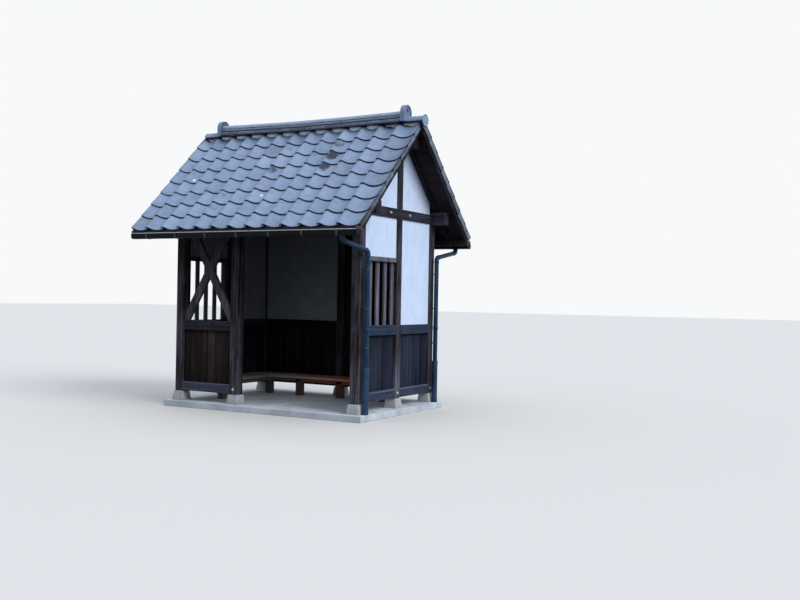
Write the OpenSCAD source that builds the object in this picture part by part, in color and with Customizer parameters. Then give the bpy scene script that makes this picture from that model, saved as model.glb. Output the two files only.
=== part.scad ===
// Timber bus shelter with a pantiled gable roof.
// Post and beam frame on stone footings, plastered upper walls, boarded lower walls,
// a crossed brace bay beside the wide entrance, an L-shaped bench and slatted gable windows.
// Millimetres. Origin on the ground under the middle of the plan, +X to the right of the
// entrance, +Y towards the back wall, +Z up.

/* [Plan] */
// Width of one bay between post centres
bay_w = 910; // [800:10:1000]
// Thickness of the square posts
post_w = 120; // [90:5:150]
// Width of the floor slab past the footings
slab_margin = 80; // [75:5:110]

/* [Heights] */
// Thickness of the concrete floor slab
slab_t = 80; // [50:5:150]
// Height of a footing stone
footing_h = 120; // [80:5:200]
// Length of the wall posts
post_h = 2280; // [2100:10:2500]
// Top of the middle rails above the floor
rail_top_h = 1058; // [900:2:1200]
// Height of the slatted window opening
window_h = 796; // [600:2:900]

/* [Timber] */
// Width of a footing stone at its top
footing_top_w = 145; // [120:1:200]
// Width of a footing stone at its foot
footing_foot_w = 180; // [160:1:260]
// Height of the sill beams
sill_h = 115; // [90:5:150]
// Gap between the footing tops and the sill beams
sill_lift = 10; // [0:1:30]
// Height of the middle rails
rail_h = 120; // [90:5:150]
// Height of the window head rails
head_rail_h = 56; // [40:2:90]
// Height of the wall plates at their outer face
plate_h = 139.4; // [125:0.2:180]
// Width of the bevel on the wall plates that the rafters lie on
plate_bevel = 25; // [10:1:40]
// Distance from the roof edge back to the ends of the wall plates and the ridge beam
plate_setback = 114; // [70:1:150]
// Height of the tie beams
tie_h = 125; // [100:5:140]
// Height of the ridge beam at its side faces
ridge_beam_h = 120; // [90:5:150]
// Width of the crossed braces
brace_w = 105; // [80:5:120]
// Thickness of the crossed braces
brace_t = 45; // [30:1:60]

/* [Walls] */
// Thickness of the plastered panels
plaster_t = 80; // [50:2:90]
// Thickness of the board panels
board_panel_t = 50; // [30:2:80]
// Width of one wall board
board_w = 99; // [80:1:200]
// Depth of the joint between two wall boards
board_joint = 4; // [2:0.5:8]
// Number of slats in a gable window
slat_count = 5; // [3:1:7]
// Width of a window slat
slat_w = 68; // [50:1:100]
// Thickness of a window slat
slat_t = 24; // [15:1:40]
// Thickness of the window head rails
head_rail_t = 100; // [60:2:116]

/* [Bench] */
// Top of the seat above the floor
seat_h = 275; // [250:5:450]
// Depth of the seat from the wall
seat_d = 400; // [300:5:450]
// Thickness of the seat planks
seat_t = 36; // [25:1:50]
// Width of the square bench legs
bench_leg_w = 90; // [60:5:120]
// Distance of the bench legs behind the front edge of the seat
leg_setback = 20; // [0:1:40]
// Distance from the left front post to the nearest bench leg
end_leg_gap = 260; // [100:5:400]
// Distance from the right gable post to the nearest bench leg
right_leg_gap = 357; // [250:1:400]
// Distance between the bench legs along the back wall
leg_pitch = 672; // [600:1:700]
// Height of the boards under the front edge of the seat
apron_h = 45; // [30:1:60]
// Thickness of the boards under the front edge of the seat
apron_t = 24; // [18:1:30]

/* [Roof] */
// Slope of the roof in degrees
roof_pitch = 44.23; // [40:0.01:46]
// Reach of the tiles past the front and back post centres
eave_reach = 539; // [480:0.2:580]
// Reach of the tiles past the gable post centres
verge_reach = 385; // [350:5:420]
// Distance that the front slope lies further left than the back slope
front_shift = 50; // [0:5:60]
// Exposed length of one tile course, which is fitted to the slope
course_exposure = 246; // [230:1:260]
// Distance down the slope from the crest line to the first course line
course_start = 57; // [40:1:70]
// Length of tile hidden under the course above
course_lap = 45; // [30:1:60]
// Thickness of a roof tile
tile_t = 15; // [12:0.5:18]
// Gap between one course and the course it lies on
tile_gap = 0.4; // [0.3:0.1:0.8]
// Covering width of one tile
tile_w = 267; // [255:1:280]
// Width of the tile at the left edge of a slope
edge_tile_w = 267; // [240:1:280]
// Least width of the wide tile at the right edge of a slope
wide_tile_min = 200; // [180:5:240]
// Depth of a tile's trough below its crest
tile_trough = 53; // [46:1:58]
// Radius of a tile's roll
roll_r = 40; // [36:1:46]
// Radius of the free side of a tile's roll
flank_r = 50; // [44:1:60]
// Radius of a tile's trough
trough_r = 171; // [150:1:190]
// Radius of the slow rise from the trough to the next tile
rise_r = 400; // [300:10:600]
// Width of the free side of a tile's roll
lip = 38; // [30:1:42]
// Width of the step from a trough up to the free side of the next roll
step_w = 14; // [12:1:20]
// Depth of the right rim of a slope below its crests
rim_drop = 14; // [8:1:20]
// Depth of the side flange of the edge tiles
flange_d = 75; // [60:1:80]
// Thickness of the side flange of the edge tiles
flange_t = 14; // [10:1:20]
// Thickness of the roof boards
roof_board_t = 12; // [9:1:18]
// Depth of the rafters
rafter_h = 40; // [36:1:60]
// Width of the rafters
rafter_w = 45; // [36:1:60]
// Number of rafters between the gables on each side, with those along their outer faces
rafter_count = 7; // [5:1:9]
// Distance from the lower edge of the tiles back to the ends of the roof boards
board_setback = 50; // [30:1:60]
// Width of the batten under the lowest course
eave_batten_w = 30; // [20:1:40]

/* [Ridge] */
// Half width of the ridge bed between the top courses
bed_half_w = 68; // [64:1:76]
// Half width of the top of the ridge bed
neck_half_w = 45; // [30:1:55]
// Height of the lower flat ridge tiles above the tile crests beside their edges
ridge_clear = 43; // [35:1:55]
// Thickness of a lower flat ridge tile
low_flat_t = 48; // [30:1:55]
// Half width of the lower flat ridge tiles
low_flat_half_w = 90; // [80:1:100]
// Thickness of an upper flat ridge tile
high_flat_t = 36; // [25:1:45]
// Half width of the upper flat ridge tiles
high_flat_half_w = 75; // [70:1:85]
// Height of the middle of a flat ridge tile above its edges
ridge_flat_fall = 20; // [10:1:30]
// Mortar joint between the flat ridge tiles
ridge_joint = 4; // [2:0.5:8]
// Radius of the round ridge cap
cap_r = 62; // [55:1:68]
// Depth that the round caps sink into their mortar
cap_sink = 10; // [5:1:20]
// Width of a ridge end tile
end_tile_w = 200; // [170:5:220]
// Thickness of a ridge end tile
end_tile_t = 63; // [40:1:80]
// Distance from the roof edge to the outer face of a ridge end tile
end_tile_inset = 241; // [200:1:300]
// Height of the middle of a ridge end tile's arch above the middle of the round cap
end_tile_rise = 43; // [30:1:80]
// Width of the raised rim round a ridge end tile
end_rim_w = 17; // [10:1:30]
// Depth of the field inside the rim
end_rim_d = 10; // [4:1:16]
// Radius of the hole in a ridge end tile
end_hole_r = 26; // [12:1:30]
// Height of the hole above the middle of the arch
end_hole_rise = 25; // [0:1:35]
// Depth of the hole
end_hole_d = 30; // [10:1:45]
// Radius of the round stopper at each end of the low caps
stopper_r = 78; // [72:1:84]
// Thickness of the stopper
stopper_t = 16; // [12:1:30]

/* [Gutters] */
// Thickness of the fascia board behind a gutter
fascia_t = 18; // [12:1:30]
// Distance from the ends of the roof boards back to the face of the fascia
fascia_setback = 8; // [2:1:20]
// Depth of the fascia below the rafters
fascia_drop = 15; // [5:1:30]
// Inner radius of the half-round gutters
gutter_r = 48; // [40:1:60]
// Wall thickness of the gutters
gutter_t = 4; // [2:0.5:6]
// Distance from the lower edge of the tiles out to the middle of the gutter
gutter_out = 41.8; // [40:0.2:55]
// Drop from the lower edge of the tile crests to the rim of the gutter
gutter_drop = 90.5; // [84:0.5:98]
// Distance from the roof edge back to the ends of the gutters
gutter_setback = 25; // [10:1:40]
// Width of a gutter bracket
bracket_w = 25; // [15:1:40]
// Thickness of a gutter bracket
bracket_t = 5; // [3:0.5:8]
// Outer radius of the downpipes
pipe_r = 30; // [20:1:32]
// Gap between a downpipe and the post behind it
pipe_gap = 40; // [38:1:45]
// Drop from the gutter's underside to its outlet's bend
outlet_drop = 70; // [50:1:120]
// Drop from the gutter's rim to the bend beside the post
elbow_drop = 220; // [180:1:300]
// Extra radius of the bends and clips round a downpipe
socket_t = 3; // [2:0.5:5]
// Height of a clip
clip_h = 20; // [12:1:30]
// Height of the joint in a downpipe above the floor
collar_at = 980; // [900:10:1100]
// Height of the collar over that joint
collar_h = 60; // [40:2:80]
// Outer radius of the guard tube at the foot of a downpipe
guard_r = 37; // [34:1:42]
// Height of the guard tubes above the floor
guard_h = 560; // [300:10:800]
// Height of the rims at both ends of a guard tube
guard_rim_h = 40; // [20:1:60]
// Extra radius of those rims
guard_rim_t = 3; // [2:0.5:5]
// Number of clips on each downpipe
clip_count = 3; // [2:1:5]

/* [Hidden] */
$fn = 32;
eps = 0.01;

// Plan
front_y = -bay_w;
back_y = bay_w;
side_x = 1.5 * bay_w;
mid_post_x = -0.5 * bay_w;
half_post = post_w / 2;
front_xs = [-side_x, mid_post_x, side_x];
back_xs = [-side_x, 0, side_x];
slab_half_x = side_x + footing_foot_w / 2 + slab_margin;
slab_half_y = bay_w + footing_foot_w / 2 + slab_margin;
roof_half_w = side_x + verge_reach;
roof_w = 2 * roof_half_w;
plate_half_w = roof_half_w - plate_setback;

// Heights
post_z = slab_t + footing_h;
plate_z = post_z + post_h;
sill_z = post_z + sill_lift;
sill_top = sill_z + sill_h;
rail_top = slab_t + rail_top_h;
rail_z = rail_top - rail_h;
head_rail_z = rail_top + window_h;
head_rail_top = head_rail_z + head_rail_h;
tie_top = plate_z + plate_h;
tie_z = tie_top - tie_h;
seat_top = slab_t + seat_h;
seat_z = seat_top - seat_t;

// Roof layers, measured square to the slope below the tile crests
eave_s = (bay_w + eave_reach) / cos(roof_pitch);
courses = round((eave_s - course_start) / course_exposure);
exposure = (eave_s - course_start) / courses;
tile_step = tile_t + tile_gap;
tile_tilt = atan(tile_step / exposure);
tile_head_drop = tile_step * (exposure + course_lap) / exposure;
board_n = tile_trough + tile_t + tile_head_drop + tile_gap;
rafter_n = board_n + roof_board_t;
soffit_n = rafter_n + rafter_h;
board_eave_s = eave_s - board_setback;
fascia_s = board_eave_s - fascia_setback;
rafter_eave_s = fascia_s - fascia_t;
fascia_n = soffit_n + fascia_drop;
batten_s = board_eave_s - eave_batten_w;
batten_n = tile_trough + tile_t + tile_gap + tile_step * (eave_s - batten_s) / exposure;
soffit_apex_z = plate_z + plate_h + (bay_w + half_post) * tan(roof_pitch);
roof_apex_z = soffit_apex_z + soffit_n / cos(roof_pitch);
roof_edge_w = roof_half_w - flange_t - 1;
rafter_edge_x = roof_half_w - flange_t - rafter_w / 2 - 2;
rafter_side_x = side_x + half_post + rafter_w / 2;
rafter_xs = [for (i = [0 : rafter_count - 1])
    rafter_side_x * (2 * i / (rafter_count - 1) - 1)];

// Tile wave: a tight roll that meets a wide trough in a common tangent
trough_x = sqrt(pow(roll_r + trough_r, 2) - pow(trough_r - tile_trough + roll_r, 2));
roll_end = roll_r * trough_x / (roll_r + trough_r);
regular_tiles = floor((roof_w - edge_tile_w - wide_tile_min) / tile_w);
last_tile_w = roof_w - edge_tile_w - regular_tiles * tile_w;
rim_run = last_tile_w - trough_x;
rim_rise = tile_trough - rim_drop;
rim_r = (rim_run * rim_run + rim_rise * rim_rise) / (2 * rim_rise);
rim_flange_n = rim_drop + tile_t / 2 + step_w / 4;

// Flat steps along each arc of a tile
roll_steps = 3;
trough_steps = 4;
rise_steps = 3;
flank_steps = 3;
rim_steps = 5;

// Ridge
ridge_beam_z = soffit_apex_z - half_post * tan(roof_pitch) - ridge_beam_h;
bed_s = bed_half_w / cos(roof_pitch);
flat_low_z = roof_apex_z - low_flat_half_w * tan(roof_pitch) + ridge_clear;
flat_high_z = flat_low_z + low_flat_t + ridge_joint;
cap_z = flat_high_z + high_flat_t + ridge_joint;
low_cap_z = flat_low_z + ridge_flat_fall;
end_face_x = roof_half_w - end_tile_inset;
end_back_x = end_face_x - end_tile_t;

// Gutters
gutter_out_r = gutter_r + gutter_t;
gutter_y = eave_s * cos(roof_pitch) + gutter_out;
gutter_z = roof_apex_z - eave_s * sin(roof_pitch) - gutter_drop;
gutter_half_w = roof_half_w - gutter_setback;
pipe_x = side_x + half_post + pipe_gap + pipe_r;
elbow_z = gutter_z - elbow_drop;
outlet_z = gutter_z - gutter_out_r - outlet_drop;

// Footings and floor

module floor_slab() {
    color("silver")
        translate([-slab_half_x, -slab_half_y, 0])
            cube([2 * slab_half_x, 2 * slab_half_y, slab_t]);
}

// Outline of a footing stone from the side
module footing_side() {
    polygon([
        [-footing_foot_w / 2, 0], [footing_foot_w / 2, 0],
        [footing_top_w / 2, footing_h], [-footing_top_w / 2, footing_h]
    ]);
}

// One tapered footing stone, the common volume of its two side outlines
module footing() {
    intersection() {
        rotate([90, 0, 0])
            linear_extrude(height = footing_foot_w, center = true) footing_side();
        rotate([90, 0, 90])
            linear_extrude(height = footing_foot_w, center = true) footing_side();
    }
}

module footings() {
    color("gainsboro") {
        for (x = front_xs)
            translate([x, front_y, slab_t]) footing();
        for (x = [-side_x, side_x])
            translate([x, 0, slab_t]) footing();
        for (x = back_xs)
            translate([x, back_y, slab_t]) footing();
    }
}

// Posts

module post(x, y, h) {
    color("#3a3236")
        translate([x - half_post, y - half_post, post_z])
            cube([post_w, post_w, h]);
}

// Horizontal beam along X between two X positions, centred on y
module beam_x(x0, x1, y, z, h, t) {
    translate([x0, y - t / 2, z]) cube([x1 - x0, t, h]);
}

// Horizontal beam along Y between two Y positions, centred on x
module beam_y(y0, y1, x, z, h, t) {
    translate([x - t / 2, y0, z]) cube([t, y1 - y0, h]);
}

// The two clear spans of a gable between its three posts
module gable_spans(x, z, h, t) {
    for (y = [front_y, 0])
        beam_y(y + half_post, y + bay_w - half_post, x, z, h, t);
}

// The two clear spans of the back wall between its three posts
module back_spans(z, h, t) {
    for (x = [-side_x, 0])
        beam_x(x + half_post, x + side_x - half_post, back_y, z, h, t);
}

module sill_front() {
    color("#4a4046")
        beam_x(-side_x + half_post, mid_post_x - half_post, front_y, sill_z, sill_h, post_w);
}

module sill_side(x) {
    color("#4a4046") gable_spans(x, sill_z, sill_h, post_w);
}

module sill_back() {
    color("#4a4046") back_spans(sill_z, sill_h, post_w);
}

module rail_front() {
    color("#4a4046")
        beam_x(-side_x + half_post, mid_post_x - half_post, front_y, rail_z, rail_h, post_w);
}

module rail_side(x) {
    color("#4a4046") gable_spans(x, rail_z, rail_h, post_w);
}

module rail_back() {
    color("#4a4046") back_spans(rail_z, rail_h, post_w);
}

// Slatted window in the front half of a gable: upright boards under a head rail
module window(x) {
    clear = bay_w - post_w;
    gap = (clear - slat_count * slat_w) / (slat_count - 1);
    y0 = front_y + half_post;
    color("#3f353a") {
        beam_y(y0, y0 + clear, x, head_rail_z, head_rail_h, head_rail_t);
        for (i = [0 : slat_count - 1])
            beam_y(y0 + i * (slat_w + gap), y0 + i * (slat_w + gap) + slat_w,
                x, rail_top, window_h + eps, slat_t);
    }
}

// Crossed brace in the closed front bay, the two bars halved where they cross
module cross_brace() {
    x0 = -side_x + half_post;
    x1 = mid_post_x - half_post;
    w = x1 - x0;
    h = plate_z - rail_top;
    angle = atan(h / w);
    reach = sqrt(w * w + h * h) + 2 * brace_w;
    color("#3f353a")
        intersection() {
            translate([x0, front_y - brace_t / 2, rail_top]) cube([w, brace_t, h]);
            translate([(x0 + x1) / 2, front_y, rail_top + h / 2])
                union() {
                    for (a = [angle, -angle])
                        rotate([0, -a, 0])
                            cube([reach, brace_t, brace_w], center = true);
                }
        }
}

// Beams at the top of the walls

module tie_beam(x) {
    color("#3a3236")
        beam_y(front_y + half_post, back_y - half_post, x, tie_z, tie_h, post_w);
}

// Wall plate with its outer top edge bevelled to the slope, seen from its left end
module wall_plate(y) {
    rise = plate_bevel * tan(roof_pitch);
    seat_z_out = plate_z + plate_h;
    color("#3a3236")
        translate([-plate_half_w, 0, 0])
            rotate([90, 0, 90])
                linear_extrude(height = 2 * plate_half_w)
                    polygon([
                        [sign(y) * (bay_w - half_post), plate_z],
                        [sign(y) * (bay_w + half_post), plate_z],
                        [sign(y) * (bay_w + half_post), seat_z_out],
                        [sign(y) * (bay_w + half_post - plate_bevel), seat_z_out + rise],
                        [sign(y) * (bay_w - half_post), seat_z_out + rise]
                    ]);
}

module king_posts() {
    color("#3a3236")
        for (x = [-side_x, side_x])
            translate([x - half_post, -half_post, tie_top])
                cube([post_w, post_w, ridge_beam_z - tie_top]);
}

// Ridge beam with a roof-shaped top that the rafters lean on
module ridge_beam() {
    shoulder_z = ridge_beam_z + ridge_beam_h;
    color("#3a3236")
        translate([-plate_half_w, 0, 0])
            rotate([90, 0, 90])
                linear_extrude(height = 2 * plate_half_w)
                    polygon([
                        [-half_post, ridge_beam_z], [half_post, ridge_beam_z],
                        [half_post, shoulder_z], [0, soffit_apex_z], [-half_post, shoulder_z]
                    ]);
}

// Roof carcass

// Strip in the roof's section between two depths below the crest plane, on the +Y side,
// cut upright at the ridge and square at the eave
function slope_y(s, n) = s * cos(roof_pitch) - n * sin(roof_pitch);
function slope_z(s, n) = roof_apex_z - s * sin(roof_pitch) - n * cos(roof_pitch);

module slope_layer(n0, n1, s_end, x0, width) {
    translate([x0, 0, 0])
        rotate([90, 0, 90])
            linear_extrude(height = width)
                polygon([
                    [0, roof_apex_z - n0 / cos(roof_pitch)],
                    [0, roof_apex_z - n1 / cos(roof_pitch)],
                    [slope_y(s_end, n1), slope_z(s_end, n1)],
                    [slope_y(s_end, n0), slope_z(s_end, n0)]
                ]);
}

// Rafters between the gables, along their outer faces and at the roof edges
module rafters(shift) {
    color("#33292c")
        for (x = concat([shift - rafter_edge_x], rafter_xs, [shift + rafter_edge_x]))
            slope_layer(rafter_n, soffit_n, rafter_eave_s, x - rafter_w / 2, rafter_w);
}

// Bar along the whole roof, square to the slope between two distances down it
module slope_bar(n0, n1, s0, s1, x0, width) {
    translate([x0, 0, 0])
        rotate([90, 0, 90])
            linear_extrude(height = width)
                polygon([
                    [slope_y(s0, n0), slope_z(s0, n0)], [slope_y(s1, n0), slope_z(s1, n0)],
                    [slope_y(s1, n1), slope_z(s1, n1)], [slope_y(s0, n1), slope_z(s0, n1)]
                ]);
}

// Boards with the fascia under their lower edge and the batten that lifts the eave tiles
module roof_boards(shift) {
    x0 = shift - roof_edge_w;
    w = 2 * roof_edge_w;
    color("#4b3a33") {
        slope_layer(board_n, rafter_n, board_eave_s, x0, w);
        slope_bar(rafter_n - eps, fascia_n, rafter_eave_s, fascia_s, x0, w);
        slope_bar(batten_n, board_n + eps, batten_s, board_eave_s, x0, w);
    }
}

// Walls

// Plaster of one gable: two wall panels, and two panels up to the roof boards
module plaster_side(x) {
    y0 = half_post;
    y1 = bay_w - half_post;
    top_z = roof_apex_z - rafter_n / cos(roof_pitch);
    color("#e8ecf4") {
        beam_y(y0, y1, x, rail_top, tie_z - rail_top, plaster_t);
        beam_y(-y1, -y0, x, head_rail_top, tie_z - head_rail_top, plaster_t);
        for (side = [-1, 1])
            translate([x - plaster_t / 2, 0, 0])
                rotate([90, 0, 90])
                    linear_extrude(height = plaster_t)
                        polygon([
                            [side * y0, tie_top], [side * y1, tie_top],
                            [side * y1, top_z - y1 * tan(roof_pitch)],
                            [side * y0, top_z - y0 * tan(roof_pitch)]
                        ]);
    }
}

module plaster_back() {
    color("#e8ecf4")
        beam_x(-side_x + half_post, -half_post, back_y, rail_top, plate_z - rail_top, plaster_t);
}

// Plan of a board panel: a slab with V joints on both faces
module board_plan(length) {
    n = max(1, round(length / board_w));
    w = length / n;
    t = board_panel_t / 2;
    front = [for (i = [0 : n - 1]) for (p = [[i * w + board_joint, -t], [(i + 1) * w - board_joint, -t],
        [(i + 1) * w, -t + board_joint]]) p];
    back = [for (i = [n - 1 : -1 : 0]) for (p = [[(i + 1) * w - board_joint, t], [i * w + board_joint, t],
        [i * w, t - board_joint]]) p];
    polygon(concat([[0, -t + board_joint]], front, [[length, t - board_joint]], back));
}

module board_panel(length, h) {
    linear_extrude(height = h) board_plan(length);
}

module boards_front() {
    color("#5a4a48")
        translate([-side_x + half_post, front_y, sill_top])
            board_panel(bay_w - post_w, rail_z - sill_top);
}

module boards_side(x) {
    color("#5a4a48")
        for (y = [front_y, 0])
            translate([x, y + half_post, sill_top])
                rotate([0, 0, 90]) board_panel(bay_w - post_w, rail_z - sill_top);
}

module boards_back() {
    color("#5a4a48") {
        for (x = [-side_x, 0])
            translate([x + half_post, back_y, sill_top])
                board_panel(side_x - post_w, rail_z - sill_top);
        translate([half_post, back_y, rail_top])
            board_panel(side_x - post_w, plate_z - rail_top);
    }
}

// Bench along the back wall and the left gable, its seat edge stiffened by a board below
module bench() {
    wall_x = -side_x + half_post;
    wall_y = back_y - half_post;
    end_y = front_y + half_post;
    seat_x = wall_x + seat_d;
    seat_y = wall_y - seat_d;
    leg_x = seat_x - leg_setback - bench_leg_w;
    leg_y = seat_y + leg_setback;
    right_leg_x = side_x - half_post - right_leg_gap - bench_leg_w;
    legs = concat([[leg_x, end_y + end_leg_gap], [leg_x, leg_y]],
        [for (i = [0 : 2]) [right_leg_x - i * leg_pitch, leg_y]]);
    color("#9a5a38") {
        translate([wall_x, seat_y, seat_z]) cube([2 * side_x - post_w, seat_d, seat_t]);
        translate([wall_x, end_y, seat_z]) cube([seat_d, seat_y - end_y + eps, seat_t]);
        translate([leg_x, leg_y, seat_z - apron_h])
            cube([side_x - half_post - leg_x, apron_t, apron_h + eps]);
        translate([leg_x + bench_leg_w - apron_t, end_y, seat_z - apron_h])
            cube([apron_t, leg_y - end_y + eps, apron_h + eps]);
        for (p = legs)
            translate([p[0], p[1], slab_t]) cube([bench_leg_w, bench_leg_w, seat_z - slab_t + eps]);
    }
}

// Roof tiles

// Drop of an arc of radius r at distance x from its top
function arc_dip(x, r) = r - sqrt(max(1, r * r - x * x));

// Height of the trough's face at distance x from the crest line, on an arc of radius r
function trough_face(x, r) = arc_dip(x - trough_x, r) - tile_trough;

// Equal steps from a to b, without a
function steps(a, b, n) = [for (i = [1 : n]) a + (b - a) * i / n];

// Face of a tile from its crest to the bottom of its trough
function roll_points(x0) = concat(
    [for (x = steps(0, roll_end, roll_steps)) [x0 + x, -arc_dip(x, roll_r)]],
    [for (x = steps(roll_end, trough_x, trough_steps)) [x0 + x, trough_face(x, trough_r)]]
);

// Rest of a tile of width w, with the step up to the next tile and that tile's free side
function rise_points(x0, w) = concat(
    [for (x = steps(trough_x, w - lip - step_w, rise_steps)) [x0 + x, trough_face(x, rise_r)]],
    [for (x = concat([lip], steps(lip, 0, flank_steps))) [x0 + w - x, -arc_dip(x, flank_r)]]
);

// Face of a whole course across the slope, from the left edge to the rim at the right edge
function course_face() = let (
        starts = concat([-roof_half_w],
            [for (i = [0 : regular_tiles - 1]) -roof_half_w + edge_tile_w + i * tile_w]),
        last_x = roof_half_w - last_tile_w
    ) concat(
        [[-roof_half_w, 0]],
        [for (k = [0 : regular_tiles])
            for (p = concat(roll_points(starts[k]),
                rise_points(starts[k], k == 0 ? edge_tile_w : tile_w))) p],
        roll_points(last_x),
        [for (x = steps(trough_x, last_tile_w, rim_steps)) [last_x + x, trough_face(x, rim_r)]]
    );

// Section of a whole course across the slope
module course_section() {
    face = course_face();
    last = len(face) - 1;
    polygon(concat(face, [for (i = [last : -1 : 0]) face[i] - [0, tile_t]]));
}

// One course, laid on the course below with its lower edge on the crest plane
module course(c) {
    s_low = course_start + c * exposure;
    s_high = c == 1 ? bed_s + ridge_joint : s_low - exposure - course_lap;
    length = (s_low - s_high) / cos(tile_tilt);
    flange_len = min(length, exposure - 1);
    rotate([90 + roof_pitch, 0, 0])
        translate([0, 0, s_low])
            rotate([-tile_tilt, 0, 0])
                translate([0, 0, -length]) {
                    linear_extrude(height = length) course_section();
                    translate([-roof_half_w, -flange_d, length - flange_len])
                        cube([flange_t, flange_d - tile_t / 2, flange_len]);
                    translate([roof_half_w - flange_t, -flange_d, length - flange_len])
                        cube([flange_t, flange_d - rim_flange_n, flange_len]);
                }
}

module slope_tiles(shift) {
    color("#7f8ea3")
        translate([-shift, 0, roof_apex_z])
            for (c = [1 : courses]) course(c);
}

// Ridge

// Flat ridge tile seen from the end, sloping to both sides
module ridge_flat(half_w, z, t) {
    polygon([
        [-half_w, z], [0, z + ridge_flat_fall], [half_w, z], [half_w, z + t],
        [0, z + ridge_flat_fall + t], [-half_w, z + t]
    ]);
}

// Half-round cap on its strip of mortar
module round_cap(z) {
    intersection() {
        translate([0, z]) circle(r = cap_r, $fn = 48);
        translate([-cap_r, z - cap_sink]) square([2 * cap_r, cap_r + cap_sink]);
    }
}

// Bed between the two top courses, standing on the roof boards
module ridge_bed() {
    foot_y = max(1, slope_y(bed_s, board_n));
    foot_z = roof_apex_z - board_n / cos(roof_pitch) - foot_y * tan(roof_pitch);
    bed_top_z = roof_apex_z - bed_half_w * tan(roof_pitch);
    polygon([
        [0, roof_apex_z - board_n / cos(roof_pitch)],
        [foot_y, foot_z], [bed_half_w, bed_top_z], [neck_half_w, low_cap_z],
        [-neck_half_w, low_cap_z], [-bed_half_w, bed_top_z], [-foot_y, foot_z]
    ]);
}

// Room of the front tiles where they reach past the left end of the ridge
module front_tile_room() {
    polygon([
        [0, roof_apex_z], [0, low_cap_z - 2 * stopper_r],
        [-2 * stopper_r, low_cap_z - 2 * stopper_r],
        [-2 * stopper_r, roof_apex_z - 2 * stopper_r * tan(roof_pitch)]
    ]);
}

// Round stopper at the end of a low cap
module stopper() {
    translate([0, low_cap_z]) circle(r = stopper_r, $fn = 48);
}

module along_ridge(x0, x1) {
    translate([x0, 0, 0]) rotate([90, 0, 90]) linear_extrude(height = x1 - x0) children();
}

// Bed, two flat tiles and the round cap between the end tiles, low caps beyond them
module ridge_tiles() {
    core_half_w = cap_r - cap_sink;
    bed_end_x = roof_edge_w - front_shift;
    color("#76859a") {
        along_ridge(-roof_edge_w, bed_end_x) ridge_bed();
        along_ridge(bed_end_x - eps, roof_edge_w)
            intersection() {
                ridge_bed();
                square([bed_half_w, low_cap_z]);
            }
        along_ridge(-end_back_x, end_back_x) {
            ridge_flat(low_flat_half_w, flat_low_z, low_flat_t);
            ridge_flat(high_flat_half_w, flat_high_z, high_flat_t);
            translate([-core_half_w, low_cap_z]) square([2 * core_half_w, cap_z - low_cap_z]);
            round_cap(cap_z);
        }
        for (side = [0, 180])
            rotate([0, 0, side])
                along_ridge(end_face_x, roof_half_w + eps) round_cap(low_cap_z);
        along_ridge(roof_half_w, roof_half_w + stopper_t) stopper();
        along_ridge(-roof_half_w - stopper_t, -roof_half_w)
            difference() {
                stopper();
                front_tile_room();
            }
    }
}

// Outline of a ridge end tile, an arch on straight sides, drawn in by a margin
module end_tile_outline(foot_z, centre_z, margin) {
    r = end_tile_w / 2 - margin;
    translate([0, centre_z]) circle(r = r, $fn = 64);
    translate([-r, foot_z]) square([2 * r, centre_z - foot_z]);
}

// Arched end tile with a raised rim and a round hole in its outer face
module ridge_end_tiles() {
    foot_z = low_cap_z;
    centre_z = cap_z + end_tile_rise;
    field_z = low_cap_z + cap_r + end_rim_w;
    color("#6f7d92")
        for (side = [0, 180])
            rotate([0, 0, side])
                difference() {
                    along_ridge(end_back_x, end_face_x) end_tile_outline(foot_z, centre_z, 0);
                    along_ridge(end_face_x - end_rim_d, end_face_x + 1)
                        end_tile_outline(field_z, centre_z, end_rim_w);
                    along_ridge(end_face_x - end_hole_d, end_face_x + 1)
                        translate([0, centre_z + end_hole_rise]) circle(r = end_hole_r, $fn = 32);
                }
}

// Gutters and downpipes

// Lower half of a disc, or of a ring where r_in is above 0
module half_ring(r_out, r_in) {
    difference() {
        circle(r = r_out, $fn = 48);
        if (r_in > 0) circle(r = r_in, $fn = 48);
        translate([-r_out - 1, 0]) square([2 * r_out + 2, r_out + 1]);
    }
}

// Strap under the gutter with an arm up to the fascia
module bracket_section() {
    high_n = rafter_n + roof_board_t;
    low_n = high_n + 3 * bracket_t;
    translate([gutter_y, gutter_z]) half_ring(gutter_out_r + bracket_t, gutter_out_r - eps);
    polygon([
        [slope_y(fascia_s, high_n), slope_z(fascia_s, high_n)],
        [gutter_y - gutter_out_r + 1, gutter_z],
        [gutter_y - gutter_out_r, gutter_z - 3 * bracket_t],
        [slope_y(fascia_s, low_n), slope_z(fascia_s, low_n)]
    ]);
}

// Half-round gutter with closed ends, carried by a bracket at every rafter over the walls
module gutter() {
    translate([0, gutter_y, gutter_z]) {
        along_ridge(-gutter_half_w, gutter_half_w) half_ring(gutter_out_r, gutter_r);
        for (side = [-gutter_half_w, gutter_half_w - gutter_t])
            along_ridge(side, side + gutter_t) half_ring(gutter_out_r, 0);
    }
    for (x = rafter_xs)
        along_ridge(x - bracket_w / 2, x + bracket_w / 2) bracket_section();
}

module gutters() {
    color("#2a2e36")
        for (side = [0, 180])
            rotate([0, 0, side]) gutter();
}

// Straight tube between two points
module tube(a, b, r) {
    d = b - a;
    translate(a)
        rotate([0, acos(d[2] / norm(d)), atan2(d[1], d[0])])
            cylinder(r = r, h = norm(d));
}

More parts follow.
